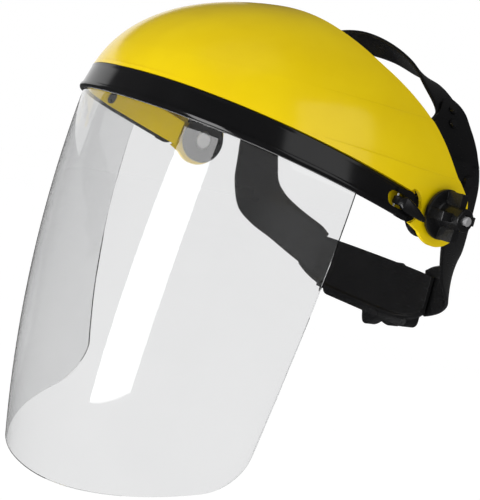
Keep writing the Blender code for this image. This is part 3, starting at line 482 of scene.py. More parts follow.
def dome(half_width, depth, rise, ridges):
    """Closed dome; its rows follow the two ridges, where the surface steps in above each."""
    turns = [math.radians(-112 + 1.6 * i) for i in range(141)]
    turns += [math.radians(a) for a in range(120, 248, 8)]      # the back is cut away, so coarse
    loops = []
    for part, count in (("foot", 6), ("low", 2), ("between", 9), ("high", 2), ("top", 22)):
        for k in range(count + (part == "top")):
            ring = []
            for turn in turns:
                z, step = dome_row(part, k / count, *ridge_heights(turn), rise)
                reach = dome_reach(turn, z, half_width, depth, rise)
                if ridges:
                    fade = smoothstep(math.degrees(abs(turn)), 42, 62)
                    reach -= RIDGE_STEP * max(0.0, step) * fade
                ring.append(Vector((reach * math.sin(turn), -reach * math.cos(turn), z)))
            loops.append(ring)
    return skin(bmesh.new(), loops)


def shell_outline():
    """Side view of the crown shell: band line, ear, rear edge, and a closed front."""
    lift = BAND_HEIGHT + GAP
    points = []
    for i in range(41):
        y = SIDE_CUT_FRONT + i * (BAND_END_Y - SIDE_CUT_FRONT) / 40
        points.append((y, rim_z(y) + lift))
    nose = (BAND_END_Y, rim_z(BAND_END_Y) + BAND_HEIGHT / 2)
    points += arc(nose, BAND_END_RADIUS + GAP, 78, -62, 24)
    points += arc((EAR_Y, EAR_Z), EAR_RADIUS, 222, 385, 40)
    rear = [(18.4, 10.5), (13.5, 15.0), (6.0, 22.5), (-3.4, 34.5), (-12.5, 45.5), (-22.4, 54.5),
            (-31.0, 61.5), (-38.5, 67.5), (-44.5, 74.0), (-49.5, 81.0), (-53.0, 90.0),
            (-54.0, SIDE_CUT_TOP)]
    points += [(p.x, p.y) for p in smooth_line([(a, b, 0) for a, b in rear], 66)[4:]]
    points += [(SIDE_CUT_FRONT, SIDE_CUT_TOP)]
    return points


def along_rivet(angle):
    """Placing function: outline across the rivet, distance inwards from the sheet's face."""
    inset = BAND_THICK + GAP + BAND_LEAN * BAND_RIVET_SHARE
    here = rim_point(angle, inset, BAND_HEIGHT * BAND_RIVET_SHARE)
    ahead = rim_point(angle + 0.01, inset, BAND_HEIGHT * BAND_RIVET_SHARE)
    along = (ahead - here).normalized()
    outward = along.cross(Vector((0, 0, 1))).normalized()
    tilt = math.atan2(BAND_LEAN, BAND_HEIGHT)
    outward = (outward * math.cos(tilt) + Vector((0, 0, 1)) * math.sin(tilt)).normalized()
    up = outward.cross(along).normalized()
    return lambda a, b, d: here + along * a + up * b - outward * d


def band_rivet_holes(target):
    for angle in BAND_RIVET_ANGLES:
        combine(target, turned([(BAND_RIVET_HOLE, -6), (BAND_RIVET_HOLE, 12)], count=24,
                               place=along_rivet(angle)))


def crown_shell():
    """Hollow dome cut to its side view, with the wall behind the window and the bolt holes."""
    shell = mesh_object("crown_shell_moulding",
                        dome(SHELL_HALF_WIDTH, SHELL_DEPTH, SHELL_RISE, True))
    combine(shell, prism(shell_outline(), (-160, 160), yz), "INTERSECT")
    inner = dome(SHELL_HALF_WIDTH - SHELL_WALL, SHELL_DEPTH - SHELL_WALL, SHELL_RISE - SHELL_WALL,
                 False)
    combine(shell, inner)
    inset = BAND_THICK + GAP + WINDOW_THICK + 2 * GAP
    low, top, over = 1.6, BAND_HEIGHT + GAP, 2.2
    wall = [(BAND_LEAN + 0.5, top), (BAND_LEAN + inset, top), (inset + 0.1 * BAND_LEAN, low),
            (inset + SHELL_RIM_WALL, low), (BAND_LEAN + inset + SHELL_RIM_WALL, top + over),
            (BAND_LEAN + 1.2, top + over)]
    combine(shell, rim_loft(wall, BAND_END_Y + 6.0, 120), "UNION")
    for _, side in SIDES:
        combine(shell, turned([(BOLT_RADIUS + 2.2, 100), (BOLT_RADIUS + 2.2, 130)], side))
    band_rivet_holes(shell)
    place_piece(shell, YELLOW, "visor", ("crown_shell",), edge=0.5)


# ---------------------------------------------------------------- brow band and latches
def brow_band():
    """Leaning band with a bead along its foot, rounded ends and a slot behind each latch."""
    lean, height, thick = BAND_LEAN, BAND_HEIGHT, BAND_THICK
    profile = [(0.9, 0.0), (0.35, 0.25), (0.05, 0.9), (0.0, 1.7), (0.12, 2.5), (0.45, 3.1),
               (1.0, 3.35), (1.1, 3.7), (lean - 0.55, height - 2.4),
               (lean - 0.5, height - 2.2), (lean - 0.35, height - 1.9),
               (lean - 0.25, height - 0.8), (lean - 0.05, height - 0.2),
               (lean + 0.5, height), (lean + thick, height), (thick, 0.0)]
    band = mesh_object("brow_band_moulding", rim_loft(profile, BAND_END_Y, 150))
    low = rim_z(BAND_END_Y)
    nose = (BAND_END_Y, low + height / 2)
    x_low, x_top = RIM_HALF_WIDTH - 0.7, RIM_HALF_WIDTH - lean + 0.3
    outline = arc(nose, BAND_END_RADIUS - 1.5, 80, -100, 32) + [(BAND_END_Y - 8, low + 1.6),
                                                                (BAND_END_Y - 8, low + height)]
    for _, side in SIDES:
        def shaped(a, b, d):
            mix = (b - low) / height
            return Vector((side * (x_low + (x_top - x_low) * mix - d), a, b))
        combine(band, prism(outline, (0.0, thick - 0.4), shaped), "UNION")
        middle, half = (SLOT_FRONT_Y + SLOT_REAR_Y) / 2, (SLOT_REAR_Y - SLOT_FRONT_Y) / 2
        centre_z = rim_z(middle) + height / 2
        level = (arc((half - SLOT_HALF, 0), SLOT_HALF, -90, 90, 16)
                 + arc((SLOT_HALF - half, 0), SLOT_HALF, 90, 270, 16))
        c, s = math.cos(SIDE_SLOPE), math.sin(SIDE_SLOPE)
        slot = [(middle + a * c - b * s, centre_z + a * s + b * c) for a, b in level]
        combine(band, prism(slot, (side * 100, side * 130), yz))
    place_piece(band, GLOSS, "visor", ("brow_band",), edge=0.35)


def latch_x():
    """Distance of the latch's hinge from the middle plane."""
    return rim_point(rim_end(0.0, LATCH_Y), 0.0, 0.0).x - BAND_LEAN / 2 - 1.0


def latch_place(side):
    """Local frame of the latch: a runs rearwards along the band, b up, d outwards."""
    c, s = math.cos(SIDE_SLOPE), math.sin(SIDE_SLOPE)
    z0, x0 = rim_z(LATCH_Y) + BAND_HEIGHT / 2, latch_x()
    return lambda a, b, d: Vector((side * (x0 + d), LATCH_Y + a * c - b * s, z0 + a * s + b * c))


def latches():
    """Swinging arm: a narrow hinge head, a shoulder, and a leaf that tapers to a raised tip."""
    rows = [(-1.6, -0.7, 0.7), (-0.9, -1.5, 1.3), (0.2, -1.6, 2.2), (1.1, -1.0, 3.6),
            (1.8, 1.2, 4.6), (2.6, 2.7, 5.3), (4.5, 3.1, 6.2), (7.5, 3.7, 7.2),
            (11.0, 4.5, 8.1), (14.0, 5.2, 8.5), (16.3, 6.0, 8.5), (17.5, 6.8, 8.1)]
    for name, side in SIDES:
        place = latch_place(side)
        loops = []
        for a, low, high in smooth_line(rows, 66):
            half = latch_half(a)
            drop = LATCH_DROP * max(0.0, a - LATCH_BEND)
            middle, tall = (low + high) / 2, max(0.3, (high - low) / 2)
            ring = []
            for i in range(20):
                turn = 2 * math.pi * i / 20
                c, s = math.cos(turn), math.sin(turn)
                ring.append(place(a, math.copysign(abs(c) ** 0.6, c) * half - drop,
                                  middle + math.copysign(abs(s) ** 0.6, s) * tall))
            loops.append(ring)
        latch = mesh_object("band_latch_moulding_" + name, skin(bmesh.new(), loops))
        pin = circle(LATCH_BORE, 20)
        combine(latch, skin(bmesh.new(), [[place(p, b, q) for p, q in pin] for b in (-6, 6)]))
        place_piece(latch, SATIN, "latch_" + name, ("band_latch_" + name,),
                    edge=0.15, segments=2, corner=50)


def latch_half(a):
    """Half width of the latch along its length."""
    knots = ((-1.6, 1.9), (0.4, 2.5), (1.2, 2.2), (2.6, 3.3), (4.5, 3.5), (7.5, 3.1), (11.0, 2.5),
             (14.0, 1.9), (16.3, 1.25), (17.6, 0.6))
    for (a0, w0), (a1, w1) in zip(knots, knots[1:]):
        if a <= a1:
            return w0 + (w1 - w0) * smoothstep(a, a0, a1)
    return knots[-1][1]


# ---------------------------------------------------------------- window
def window_point(u, v, depth_in):
    """Point on the sheet: u from -1 (right edge) to 1 (left edge), v from 0 (top) to 1 (foot)."""
    inset_foot = BAND_THICK + GAP + depth_in
    a = u * rim_end(inset_foot, WINDOW_EDGE_TOP_Y)
    x_top, y_top = oval(a, RIM_HALF_WIDTH - inset_foot, RIM_DEPTH - inset_foot, RIM_POWER)
    if v < 0:
        share = -v * WINDOW_TUCK
        return rim_point(a, inset_foot + BAND_LEAN * share / BAND_HEIGHT, share)
    w, d = WINDOW_FOOT_HALF_WIDTH - depth_in, WINDOW_FOOT_DEPTH - depth_in
    low_end = math.acos(((WINDOW_FOOT_CENTRE_Y - WINDOW_EDGE_LOW_Y) / d) ** (WINDOW_FOOT_POWER / 2))
    x_low, y_low = oval(u * low_end, w, d, WINDOW_FOOT_POWER, WINDOW_FOOT_CENTRE_Y)
    z_top = rim_z(y_top)
    z_low = WINDOW_FOOT_Z + WINDOW_FOOT_RISE * (y_low + RIM_DEPTH) / RIM_RUN
    reach = WINDOW_HALF_RUN * (1 - abs(u))
    if reach < WINDOW_CORNER:
        z_low += WINDOW_CORNER - math.sqrt(WINDOW_CORNER ** 2 - (WINDOW_CORNER - reach) ** 2)
    swell = 1 + WINDOW_BULGE * 4 * v * (1 - v) / WINDOW_MEAN_REACH
    return Vector(((x_top + (x_low - x_top) * v) * swell, (y_top + (y_low - y_top) * v) * swell,
                   z_top + (z_low - z_top) * v))


def window():
    """Bent sheet; its columns stand closer at the rounded corners."""
    corner = [1 - WINDOW_CORNER_SHARE * (1 - math.cos(math.pi / 2 * i / 14)) for i in range(15)]
    straight = 1 - WINDOW_CORNER_SHARE
    middle = [straight * (i / 50 - 1) for i in range(1, 100)]
    across = [-u for u in corner] + middle + corner[::-1]
    down = [-1.0, -0.5] + [i / 40 for i in range(41)]
    loops = []
    for u in across:
        loops.append([window_point(u, v, 0.0) for v in down]
                     + [window_point(u, v, WINDOW_THICK) for v in reversed(down)])
    sheet = mesh_object("window_sheet", skin(bmesh.new(), loops))
    band_rivet_holes(sheet)
    place_piece(sheet, CLEAR, "visor", ("window",), edge=0.12, segments=1)


# ---------------------------------------------------------------- pivot knobs
def pivot_knobs():
    """Clamp knob: thin flange, ringed boss and four tall wings."""
    profile = [(BOLT_RADIUS + 0.5, KNOB_IN), (FLANGE_RADIUS - 0.6, KNOB_IN),
               (FLANGE_RADIUS, KNOB_IN + 0.8), (FLANGE_RADIUS, FLANGE_OUT - 0.9),
               (FLANGE_RADIUS - 0.5, FLANGE_OUT - 0.25), (FLANGE_RADIUS - 1.4, FLANGE_OUT),
               (BOSS_RADIUS + 2.6, FLANGE_OUT + 0.2), (BOSS_RADIUS + 1.2, FLANGE_OUT + 0.9),
               (BOSS_RADIUS + 0.5, FLANGE_OUT + 2.4), (BOSS_RADIUS + 0.1, BOSS_OUT - 0.9),
               (BOSS_RADIUS - 0.3, BOSS_OUT - 0.25), (BOSS_RADIUS - 0.9, BOSS_OUT),
               (BOSS_MOUTH + 0.5, BOSS_OUT), (BOSS_MOUTH, BOSS_OUT - 0.5),
               (BOSS_MOUTH, BOSS_OUT - 1.6), (INSERT_POCKET, BOSS_OUT - 1.8),
               (INSERT_POCKET, KNOB_IN + 2.7), (BOLT_RADIUS + 0.5, KNOB_IN + 2.7)]
    for name, side in SIDES:
        loops = []
        for i in range(72):
            turn = 2 * math.pi * i / 72
            loops.append([Vector((side * d, r * math.cos(turn), r * math.sin(turn)))
                          for r, d in profile])
        knob = mesh_object("pivot_knob_moulding_" + name, skin(bmesh.new(), loops, closed=True))
        wing = [(4.9, FLANGE_OUT - 0.5), (12.6, FLANGE_OUT - 0.5), (12.9, FLANGE_OUT + 1.0),
                (12.8, KNOB_OUT - 2.6), (12.5, KNOB_OUT - 1.9), (11.8, KNOB_OUT - 1.5),
                (9.0, KNOB_OUT - 1.3), (4.9, KNOB_OUT - 1.3)]
        for i in range(4):
            turn = math.radians(90 * i)
            c, s = math.cos(turn), math.sin(turn)
            loops = []
            for w in (-1.0, 1.0):
                loops.append([])
                for r, d in wing:
                    half = w * WING_HALF * (1.0 - 0.2 * (d - FLANGE_OUT) / (KNOB_OUT - FLANGE_OUT))
                    loops[-1].append(Vector((side * d, r * c - half * s, r * s + half * c)))
            combine(knob, skin(bmesh.new(), loops), "UNION")
        place_piece(knob, SATIN, "knob_" + name, ("pivot_knob_" + name,), edge=0.4)


# ---------------------------------------------------------------- headgear
def ribbon(stations, thick):
    """Sweep a flat bar with round edges; each station is (edge, other edge, outward)."""
    loops = []
    half, inner = thick / 2, 9
    ends = [math.radians(-90 + 30 * i) for i in range(7)]
    for edge, other, outward in stations:
        across = (other - edge).normalized()
        width = (other - edge).length - thick
        normal = (outward - across * outward.dot(across)).normalized()

        def at(along, out):
            return edge + across * (half + along) + normal * out
        ring = [at(width + math.cos(t) * half, math.sin(t) * half) for t in ends]
        ring += [at(width * (1 - i / inner), half) for i in range(1, inner)]
        ring += [at(-math.cos(t) * half, math.sin(t) * half) for t in reversed(ends)]
        ring += [at(width * i / inner, -half) for i in range(1, inner)]
        loops.append(ring)
    return skin(bmesh.new(), loops)


def loop_outward(x, y):
    """Level direction straight out of the rear loop at a point on it."""
    across = math.copysign(abs(x / LOOP_HALF_WIDTH) ** (LOOP_POWER - 1), x) / LOOP_HALF_WIDTH
    ahead = max(0.0, (y - LOOP_CENTRE_Y) / LOOP_REACH) ** (LOOP_POWER - 1) / LOOP_REACH
    return Vector((across, ahead, 0)).normalized()


def on_loop(angle, z, side=1, inset=0.0):
    """Point on the rear loop: angle 0 is the nape, positive towards the wearer's left."""
    s, c = math.sin(angle), math.cos(angle)
    x = math.copysign(abs(s) ** (2 / LOOP_POWER), s) * (LOOP_HALF_WIDTH - inset)
    y = LOOP_CENTRE_Y + abs(c) ** (2 / LOOP_POWER) * (LOOP_REACH - inset)
    return Vector((side * x, y, z))


def loop_angle(y):
    """Angle at which the rear loop reaches a given y."""
    return math.acos(((y - LOOP_CENTRE_Y) / LOOP_REACH) ** (LOOP_POWER / 2))


def temple_hole(target, side, place):
    """Hole for a temple rivet; place is 0 for the front one, 1 for the rear one."""
    y, z = TEMPLE_RIVETS[place]
    combine(target, turned([(RIVET_RADIUS + GAP, 80), (RIVET_RADIUS + GAP, 115)], side, 24,
                           lambda a, b, d: Vector((side * d, y + a, z + b))))


def side_straps():
    """Straps down to the nape; each row is front y, front z, rear y, rear z."""
    rows = [(22.5, 28.1, 43.0, 27.1), (24.5, 10.0, 51.5, 14.0), (26.5, -8.0, 55.0, -2.0),
            (28.5, -22.0, 58.0, -15.0), (36.0, -39.0, 63.0, -23.0), (47.5, -48.5, 68.5, -28.5),
            (61.0, -56.0, 73.5, -33.0), (71.0, -63.5, 77.5, -37.0), (76.5, -68.5, 79.3, -41.0)]
    for name, side in SIDES:
        stations = []
        for front_y, front_z, rear_y, rear_z in smooth_line([Vector(r) for r in rows], 72):
            low, high = loop_angle(front_y), loop_angle(rear_y)
            middle = on_loop((low + high) / 2, 0, side)
            stations.append((on_loop(low, front_z, side), on_loop(high, rear_z, side),
                             loop_outward(middle.x, middle.y)))
        strap = mesh_object("side_strap_moulding_" + name, ribbon(stations, STRAP_THICK))
        temple_hole(strap, side, 1)
        place_piece(strap, SOFT, "headgear", ("side_strap_" + name,))


def nape_band():
    """Curved band across the nape, with a rounded bead along its lower edge."""
    end = math.asin((NAPE_HALF / LOOP_HALF_WIDTH) ** (LOOP_POWER / 2))
    loops = []
    count = 96
    for i in range(count + 1):
        angle = -end + 2 * end * i / count
        foot = NAPE_FOOT + NAPE_END_RISE * abs(2 * i / count - 1) ** 3
        profile = [(0.25, NAPE_TOP - 0.05), (0, NAPE_TOP - 0.3), (0, foot + 0.5),
                   (0.15, foot + 0.15), (0.5, foot), (2.6, foot), (3.0, foot + 0.15),
                   (3.2, foot + 0.6), (3.2, foot + 1.9), (3.05, foot + 2.4),
                   (2.6, foot + 2.9), (2.15, foot + 3.3), (2.0, foot + 3.9),
                   (2.0, NAPE_TOP - 0.3), (1.75, NAPE_TOP - 0.05)]
        loops.append([on_loop(angle, z, 1, inset + 2.6) for inset, z in profile])
    band = mesh_object("nape_band_moulding", skin(bmesh.new(), loops))
    place_piece(band, SOFT, "headgear", ("nape_band",), edge=0.3, corner=50)


def crown_stations():
    """Front and rear edge of the crown strap from the left foot over to the right one."""
    half = [((98.6, -5.0, 29.5), (97.0, 42.6, 27.25)), ((96.0, -5.5, 36.5), (95.2, 37.5, 38.0)),
            ((91.8, 1.0, 45.5), (90.6, 34.0, 47.5)), ((86.0, 10.0, 54.5), (82.5, 31.0, 58.5)),
            ((71.0, 11.0, 67.5), (66.0, 29.5, 69.0)),
            ((54.0, 14.0, 79.0), (48.0, 27.0, 73.0)), ((27.0, 17.0, 88.0), (27.0, 27.5, 77.5)),
            ((0.0, 18.0, 91.5), (0.0, 28.0, 79.5))]
    rows = [Vector(front + rear) for front, rear in half]
    flip = Vector((-1, 1, 1, -1, 1, 1))
    rows += [Vector([a * b for a, b in zip(row, flip)]) for row in reversed(rows[:-1])]
    return smooth_line(rows, CROWN_STEPS)


CROWN = crown_stations()


def crown_path(start, end, count, lift=0.0):
    """Stations for ribbon() between two shares of the crown strap's run."""
    stations = []
    for i in range(count + 1):
        k = round(CROWN_STEPS * (start + (end - start) * i / count))
        front, rear = Vector(CROWN[k][:3]), Vector(CROWN[k][3:])
        before, after = CROWN[max(k - 4, 0)], CROWN[min(k + 4, CROWN_STEPS)]
        along = Vector(after[:3]) + Vector(after[3:]) - Vector(before[:3]) - Vector(before[3:])
        outward = along.cross(rear - front).normalized()
        if outward.dot(Vector((front.x, 0, front.z))) < 0:
            outward = -outward
        stations.append((front + outward * lift, rear + outward * lift, outward))
    return stations


def crown_straps():
    """Short half with a rounded end over the long half, pegged through both."""
    short = crown_path(0.0, 0.24, 64)
    for i in range(1, CROWN_ROUNDED + 1):
        k = i - 1 - CROWN_ROUNDED
        front, rear, outward = short[k]
        middle = (front + rear) / 2
        share = math.sqrt(max(0.02, 1 - ((i - 0.3) / CROWN_ROUNDED) ** 2))
        short[k] = (middle + (front - middle) * share, middle + (rear - middle) * share, outward)
    left = mesh_object("crown_strap_moulding_left", ribbon(short, STRAP_THICK))
    right = mesh_object("crown_strap_moulding_right",
                        ribbon(crown_path(0.1, 1.0, 150, -STRAP_THICK - 2 * GAP), STRAP_THICK))
    for share in CROWN_PEG_SHARES:
        front, rear, outward = crown_path(share, share, 1)[0]
        middle = (front + rear) / 2
        across = (rear - front).normalized()
        other = outward.cross(across).normalized()

        def place(a, b, d):
            return middle + across * a + other * b + outward * d
        for target in (left, right):
            combine(target, turned([(CROWN_PEG_HOLE, -8), (CROWN_PEG_HOLE, 8)], count=24,
                                   place=place))
    place_piece(left, SOFT, "headgear", ("crown_strap_left",))
    place_piece(right, SOFT, "headgear", ("crown_strap_right",))


def forehead_point(angle, inset=0.0):
    """Plan point on the forehead band's outer outline, or inset from it; angle 0 is the front."""
    s, c = math.sin(angle), math.cos(angle)
    return ((FOREHEAD_HALF_WIDTH - inset) * math.copysign(abs(s) ** FOREHEAD_ROUND, s),
            (FOREHEAD_Y + inset) * abs(c) ** FOREHEAD_ROUND)


def forehead_height(angle):
    """Height of the band's middle line."""
    return FOREHEAD_LOW + FOREHEAD_RISE * max(0.0, math.cos(angle)) ** 1.3


def forehead_band():
    """Band from temple to temple, tallest in front."""
    loops = []
    count = 120
    for i in range(count + 1):
        angle = -FOREHEAD_REACH + 2 * FOREHEAD_REACH * i / count
        z = forehead_height(angle)
        half = 8.0 + 7.0 * math.cos(angle)
        rounded = [(0.0, -half + 0.5), (0.0, half - 0.5), (0.15, half - 0.15), (0.5, half),
                   (STRAP_THICK - 0.5, half), (STRAP_THICK - 0.15, half - 0.15),
                   (STRAP_THICK, half - 0.5), (STRAP_THICK, -half + 0.5),
                   (STRAP_THICK - 0.15, -half + 0.15), (STRAP_THICK - 0.5, -half), (0.5, -half),
                   (0.15, -half + 0.15)]
        loops.append([Vector((*forehead_point(angle, inset), z + dz)) for inset, dz in rounded])
    band = mesh_object("forehead_band_moulding", skin(bmesh.new(), loops))
    for _, side in SIDES:
        temple_hole(band, side, 0)
    place_piece(band, SOFT, "headgear", ("forehead_band",), edge=0.2,
                corner=50)


# ---------------------------------------------------------------- sweatband
def pad_section(share):
    """Angle, height, half height and depth of the pad at a share from -1 to 1 along it."""
    angle = PAD_REACH * share
    taper = 1 - 0.35 * abs(share) ** 4
    return angle, forehead_height(angle), (7.0 + 7.0 * math.cos(angle)) * taper, PAD_DEPTH * taper


def sweatband():
    """Foam pad: swollen by a short cloth simulation between its sewn edges."""
    loops = []
    for i in range(61):
        angle, z, half, deep = pad_section(i / 30 - 1)
        section = [(0.15, -half + 0.8), (0.15, half - 0.8), (0.9, half),
                   (deep * 0.55, half * 0.9), (deep * 0.82, half * 0.5), (deep * 0.86, 0.0),
                   (deep * 0.82, -half * 0.5), (deep * 0.55, -half * 0.9), (0.9, -half)]
        loops.append([Vector((*forehead_point(angle, PAD_BACK + inset), z + dz))
                      for inset, dz in section])
    pad = mesh_object("sweatband_pad", skin(bmesh.new(), loops))
    remesh = pad.modifiers.new("Remesh", "REMESH")
    remesh.mode = "VOXEL"
    remesh.voxel_size = PAD_VOXEL * MM
    bake(pad)
    swell(pad)
    shape_seams(pad)
    subdivide = pad.modifiers.new("Subdivision", "SUBSURF")
    subdivide.levels = subdivide.render_levels = 1
    pad.data.materials.clear()
    pad.data.materials.append(FOAM)
    pad.data.shade_smooth()
    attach(pad, "headgear")
    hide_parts("sweatband")


def band_depth(point):
    """How far a point, in millimetres, stands in from the band's outer outline, and its angle."""
    angle = math.atan2(point.x / FOREHEAD_HALF_WIDTH, point.y / FOREHEAD_Y)
    plan = Vector(forehead_point(angle))
    return plan.length - Vector((point.x, point.y)).length, angle


def swell(pad):
    """Cloth with pressure; the back, which lies on the band, is pinned."""
    start = [v.co.copy() for v in pad.data.vertices]
    pinned = pad.vertex_groups.new(name="back")
    back = [v.index for v in pad.data.vertices if band_depth(v.co / MM)[0] < PAD_BACK + 1.6]
    pinned.add(back, 1.0, "ADD")
    cloth = pad.modifiers.new("Cloth", "CLOTH")
    cloth.settings.use_pressure = True
    cloth.settings.uniform_pressure_force = SWELL_PRESSURE
    cloth.settings.effector_weights.gravity = 0.0
    cloth.settings.vertex_group_mass = "back"
    cloth.settings.quality = 5
    cloth.collision_settings.use_collision = False
    cloth.point_cache.frame_start, cloth.point_cache.frame_end = 1, SWELL_FRAMES
    scene = bpy.context.scene
    for frame_number in range(1, SWELL_FRAMES + 1):
        scene.frame_set(frame_number)
    bake(pad)
    scene.frame_set(1)
    for vertex, before in zip(pad.data.vertices, start):
        move = vertex.co - before
        if move.length > SWELL_CAP * MM:
            vertex.co = before + move.normalized() * SWELL_CAP * MM
    pad.vertex_groups.clear()


def shape_seams(pad):
    """Press sewn channels into the free face, and keep the back off the band."""
    for vertex in pad.data.vertices:
        point = vertex.co / MM
        depth, angle = band_depth(point)
        flat = Vector((point.x, point.y, 0)).normalized()
        if depth < PAD_BACK + 0.1:
            vertex.co -= flat * (PAD_BACK + 0.1 - depth) * MM
            continue
        front = smoothstep(depth, PAD_BACK + 1.5, PAD_BACK + 4.0)
        channel = 0.0
        for k in range(-4, 5):
            away = abs(angle - SEAM_PITCH * k) * PAD_MEAN_RADIUS
            channel = max(channel, math.exp(-(away / SEAM_HALF_WIDTH) ** 2))
        vertex.co += flat * (SEAM_DEPTH * channel * front) * MM


# ---------------------------------------------------------------- nape ratchet
def nape_place(a, b, d):
    """Placing function: the outline faces rearwards about the ratchet's axis, d is y."""
    return Vector((a, d, RATCHET_Z + b))


def rounded_rectangle(half_width, half_height, radius, count=12):
    x, z = half_width - radius, half_height - radius
    return (arc((x, z), radius, 0, 90, count) + arc((-x, z), radius, 90, 180, count)
            + arc((-x, -z), radius, 180, 270, count) + arc((x, -z), radius, 270, 360, count))


def ratchet_cover():
    """Hollow cover with the knob's bore, a slot for each rack and three grip lines a side."""
    outline = rounded_rectangle(COVER_HALF_WIDTH, COVER_HALF_HEIGHT, 5)
    cover = mesh_object("ratchet_cover_moulding",
                        prism(outline, (BASE_OUT + GAP, COVER_OUT), nape_place))
    inside = rounded_rectangle(COVER_HALF_WIDTH - COVER_WALL, COVER_HALF_HEIGHT - COVER_WALL, 3.5)
    combine(cover, prism(inside, (BASE_OUT - 1, COVER_OUT - COVER_WALL), nape_place))
    combine(cover, prism(circle(3.6), (85, 100), nape_place))
    for _, side in SIDES:
        low, high = side * 6.6, side * 10.8
        slot = [(side * 30, low), (side * 60, low), (side * 60, high), (side * 30, high)]
        combine(cover, prism(slot, (83.1, 87.8), nape_place))
        for k in range(3):
            rib = [(side * (29 + 3 * k) + a, b) for a, b in rounded_rectangle(0.6, 8.0, 0.59, 6)]
            combine(cover, prism(rib, (COVER_OUT - 0.6, COVER_OUT + 3), nape_place))
    place_piece(cover, SATIN, "headgear", ("ratchet_cover",), edge=0.6)


def ratchet_knob():
    """Lobed knob with a dished face, bored for the pinion's hub and the screw."""
    grip = []
    count = 180
    for i in range(count):
        angle = 2 * math.pi * i / count
        lobe = (0.5 + 0.5 * math.cos(RATCHET_LOBES * (angle - RATCHET_LOBE_TURN))) ** 2
        radius = RATCHET_KNOB_RADIUS - RATCHET_LOBE_DEPTH * (1 - lobe)
        grip.append((radius * math.cos(angle), radius * math.sin(angle)))
    rows = ((0.955, RATCHET_KNOB_IN), (0.985, RATCHET_KNOB_IN + 0.5), (1.0, RATCHET_KNOB_IN + 1.6),
            (1.0, RATCHET_KNOB_OUT - 3.0), (0.985, RATCHET_KNOB_OUT - 1.9),
            (0.94, RATCHET_KNOB_OUT - 0.8), (0.86, RATCHET_KNOB_OUT - 0.1), (0.8, RATCHET_KNOB_OUT))
    loops = [[nape_place(a * scale, b * scale, d) for a, b in grip] for scale, d in rows]
    knob = mesh_object("ratchet_knob_moulding", skin(bmesh.new(), loops))
    combine(knob, prism(circle(3.5), (90.0, 98.4), nape_place))
    combine(knob, prism(circle(1.9, 32), (97.0, 110.0), nape_place))
    combine(knob, prism(circle(4.2), (102.6, 110.0), nape_place))
    dish = skin(bmesh.new(), [[nape_place(a, b, d) for a, b in circle(r, 72)]
                              for r, d in ((11.0, 104.3), (13.2, 105.4))])
    combine(knob, dish)
    place_piece(knob, SATIN, "ratchet", ("ratchet_knob",), edge=0.3, corner=40)


# ---------------------------------------------------------------- stage, light, camera
def floor():
    """Bright ground far below, which reflections don't see."""
    bm = bmesh.new()
    bmesh.ops.create_grid(bm, x_segments=4, y_segments=4, size=FLOOR_HALF)
    bmesh.ops.translate(bm, verts=bm.verts, vec=(0, 0, FLOOR_Z))
    made = mesh_object("floor", bm)
    pale = surface("floor_pale", (0.10, 0.10, 0.10), (0.115, 0.115, 0.115), (0.8, 0.9), 300.0,
                   0.02, 3.0)
    shader = pale.node_tree.nodes["Principled BSDF"]
    shader.inputs["Emission Color"].default_value = (1, 1, 1, 1)
    shader.inputs["Emission Strength"].default_value = FLOOR_GLOW
    made.data.materials.append(pale)
    made.visible_glossy = False


def world():
    """White to the camera and through the window, dimmer to reflections, soft fill for shading."""
    made = bpy.data.worlds.new("studio")
    bpy.context.scene.world = made
    made.use_nodes = True
    tree = made.node_tree
    back = tree.nodes["Background"]
    path = node(tree, "ShaderNodeLightPath")
    seen = node(tree, "ShaderNodeMath", operation="MAXIMUM")
    tree.links.new(path.outputs["Is Camera Ray"], seen.inputs[0])
    tree.links.new(path.outputs["Is Transmission Ray"], seen.inputs[1])
    dim = spread(tree, path.outputs["Is Diffuse Ray"], WORLD_REFLECTED, WORLD_DIFFUSE, 0.0, 1.0)
    strength = node(tree, "ShaderNodeMix", data_type="FLOAT")
    strength.inputs["B"].default_value = 1.0
    tree.links.new(seen.outputs["Value"], strength.inputs["Factor"])
    tree.links.new(dim, strength.inputs["A"])
    tree.links.new(strength.outputs["Result"], back.inputs["Strength"])
    back.inputs["Color"].default_value = (1, 1, 1, 1)


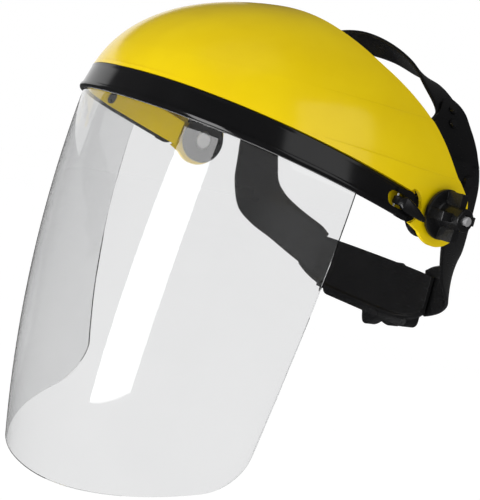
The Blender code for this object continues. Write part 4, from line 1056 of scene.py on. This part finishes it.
def softbox(name, azimuth, height, distance, size, radiance, diffuse=True, glossy=True):
    """Area light that faces the object's axis; azimuth runs from the front to the wearer's left."""
    light = bpy.data.lights.new(name, "AREA")
    light.shape = "RECTANGLE"
    light.size, light.size_y = size
    light.energy = radiance * math.pi * size[0] * size[1]
    made = bpy.data.objects.new(name, light)
    turn = math.radians(azimuth)
    way = Vector((math.sin(turn), -math.cos(turn), 0))
    made.location = way * distance + Vector((0, 0, height))
    made.rotation_euler = (way + Vector((0, 0, height * 0.8))).to_track_quat("Z", "Y").to_euler()
    made.visible_camera = False
    made.visible_transmission = False
    made.visible_diffuse, made.visible_glossy = diffuse, glossy
    bpy.context.scene.collection.objects.link(made)


def camera():
    data = bpy.data.cameras.new("camera")
    data.lens, data.sensor_width = CAMERA_LENS, CAMERA_SENSOR
    made = bpy.data.objects.new("camera", data)
    turn = Matrix((CAMERA_RIGHT, CAMERA_UP, CAMERA_BACK)).transposed().to_4x4()
    made.matrix_world = Matrix.Translation(CAMERA_PLACE * MM) @ turn
    bpy.context.scene.collection.objects.link(made)
    bpy.context.scene.camera = made


# ---------------------------------------------------------------- main
def main():
    camera()
    world()
    softbox("softbox_front", 11.5, -0.14, 0.95, (0.414, 0.70), 4.0)
    softbox("softbox_front_core", 11.5, -0.14, 0.96, (0.414, 0.70), 2.4, diffuse=False)
    softbox("softbox_left", 86, 0.55, 1.0, (0.72, 0.80), 0.4)
    softbox("softbox_left_core", 86, 0.55, 1.01, (0.72, 0.80), 0.6, diffuse=False)
    softbox("softbox_right", -92, 0.20, 1.1, (1.2, 0.40), 0.95)
    softbox("softbox_top", -20, 1.3, 0.5, (0.9, 0.9), 1.6, glossy=False)
    floor()
    bpy.context.scene.view_settings.view_transform = "Standard"
    crown_shell()
    brow_band()
    latches()
    window()
    pivot_knobs()
    forehead_band()
    side_straps()
    nape_band()
    crown_straps()
    ratchet_cover()
    ratchet_knob()
    sweatband()
    for obj in frame["nodes"].values():
        for slot in obj.material_slots:
            slot.material = NODE_FINISH[slot.material.name.split(".")[0]]


main()
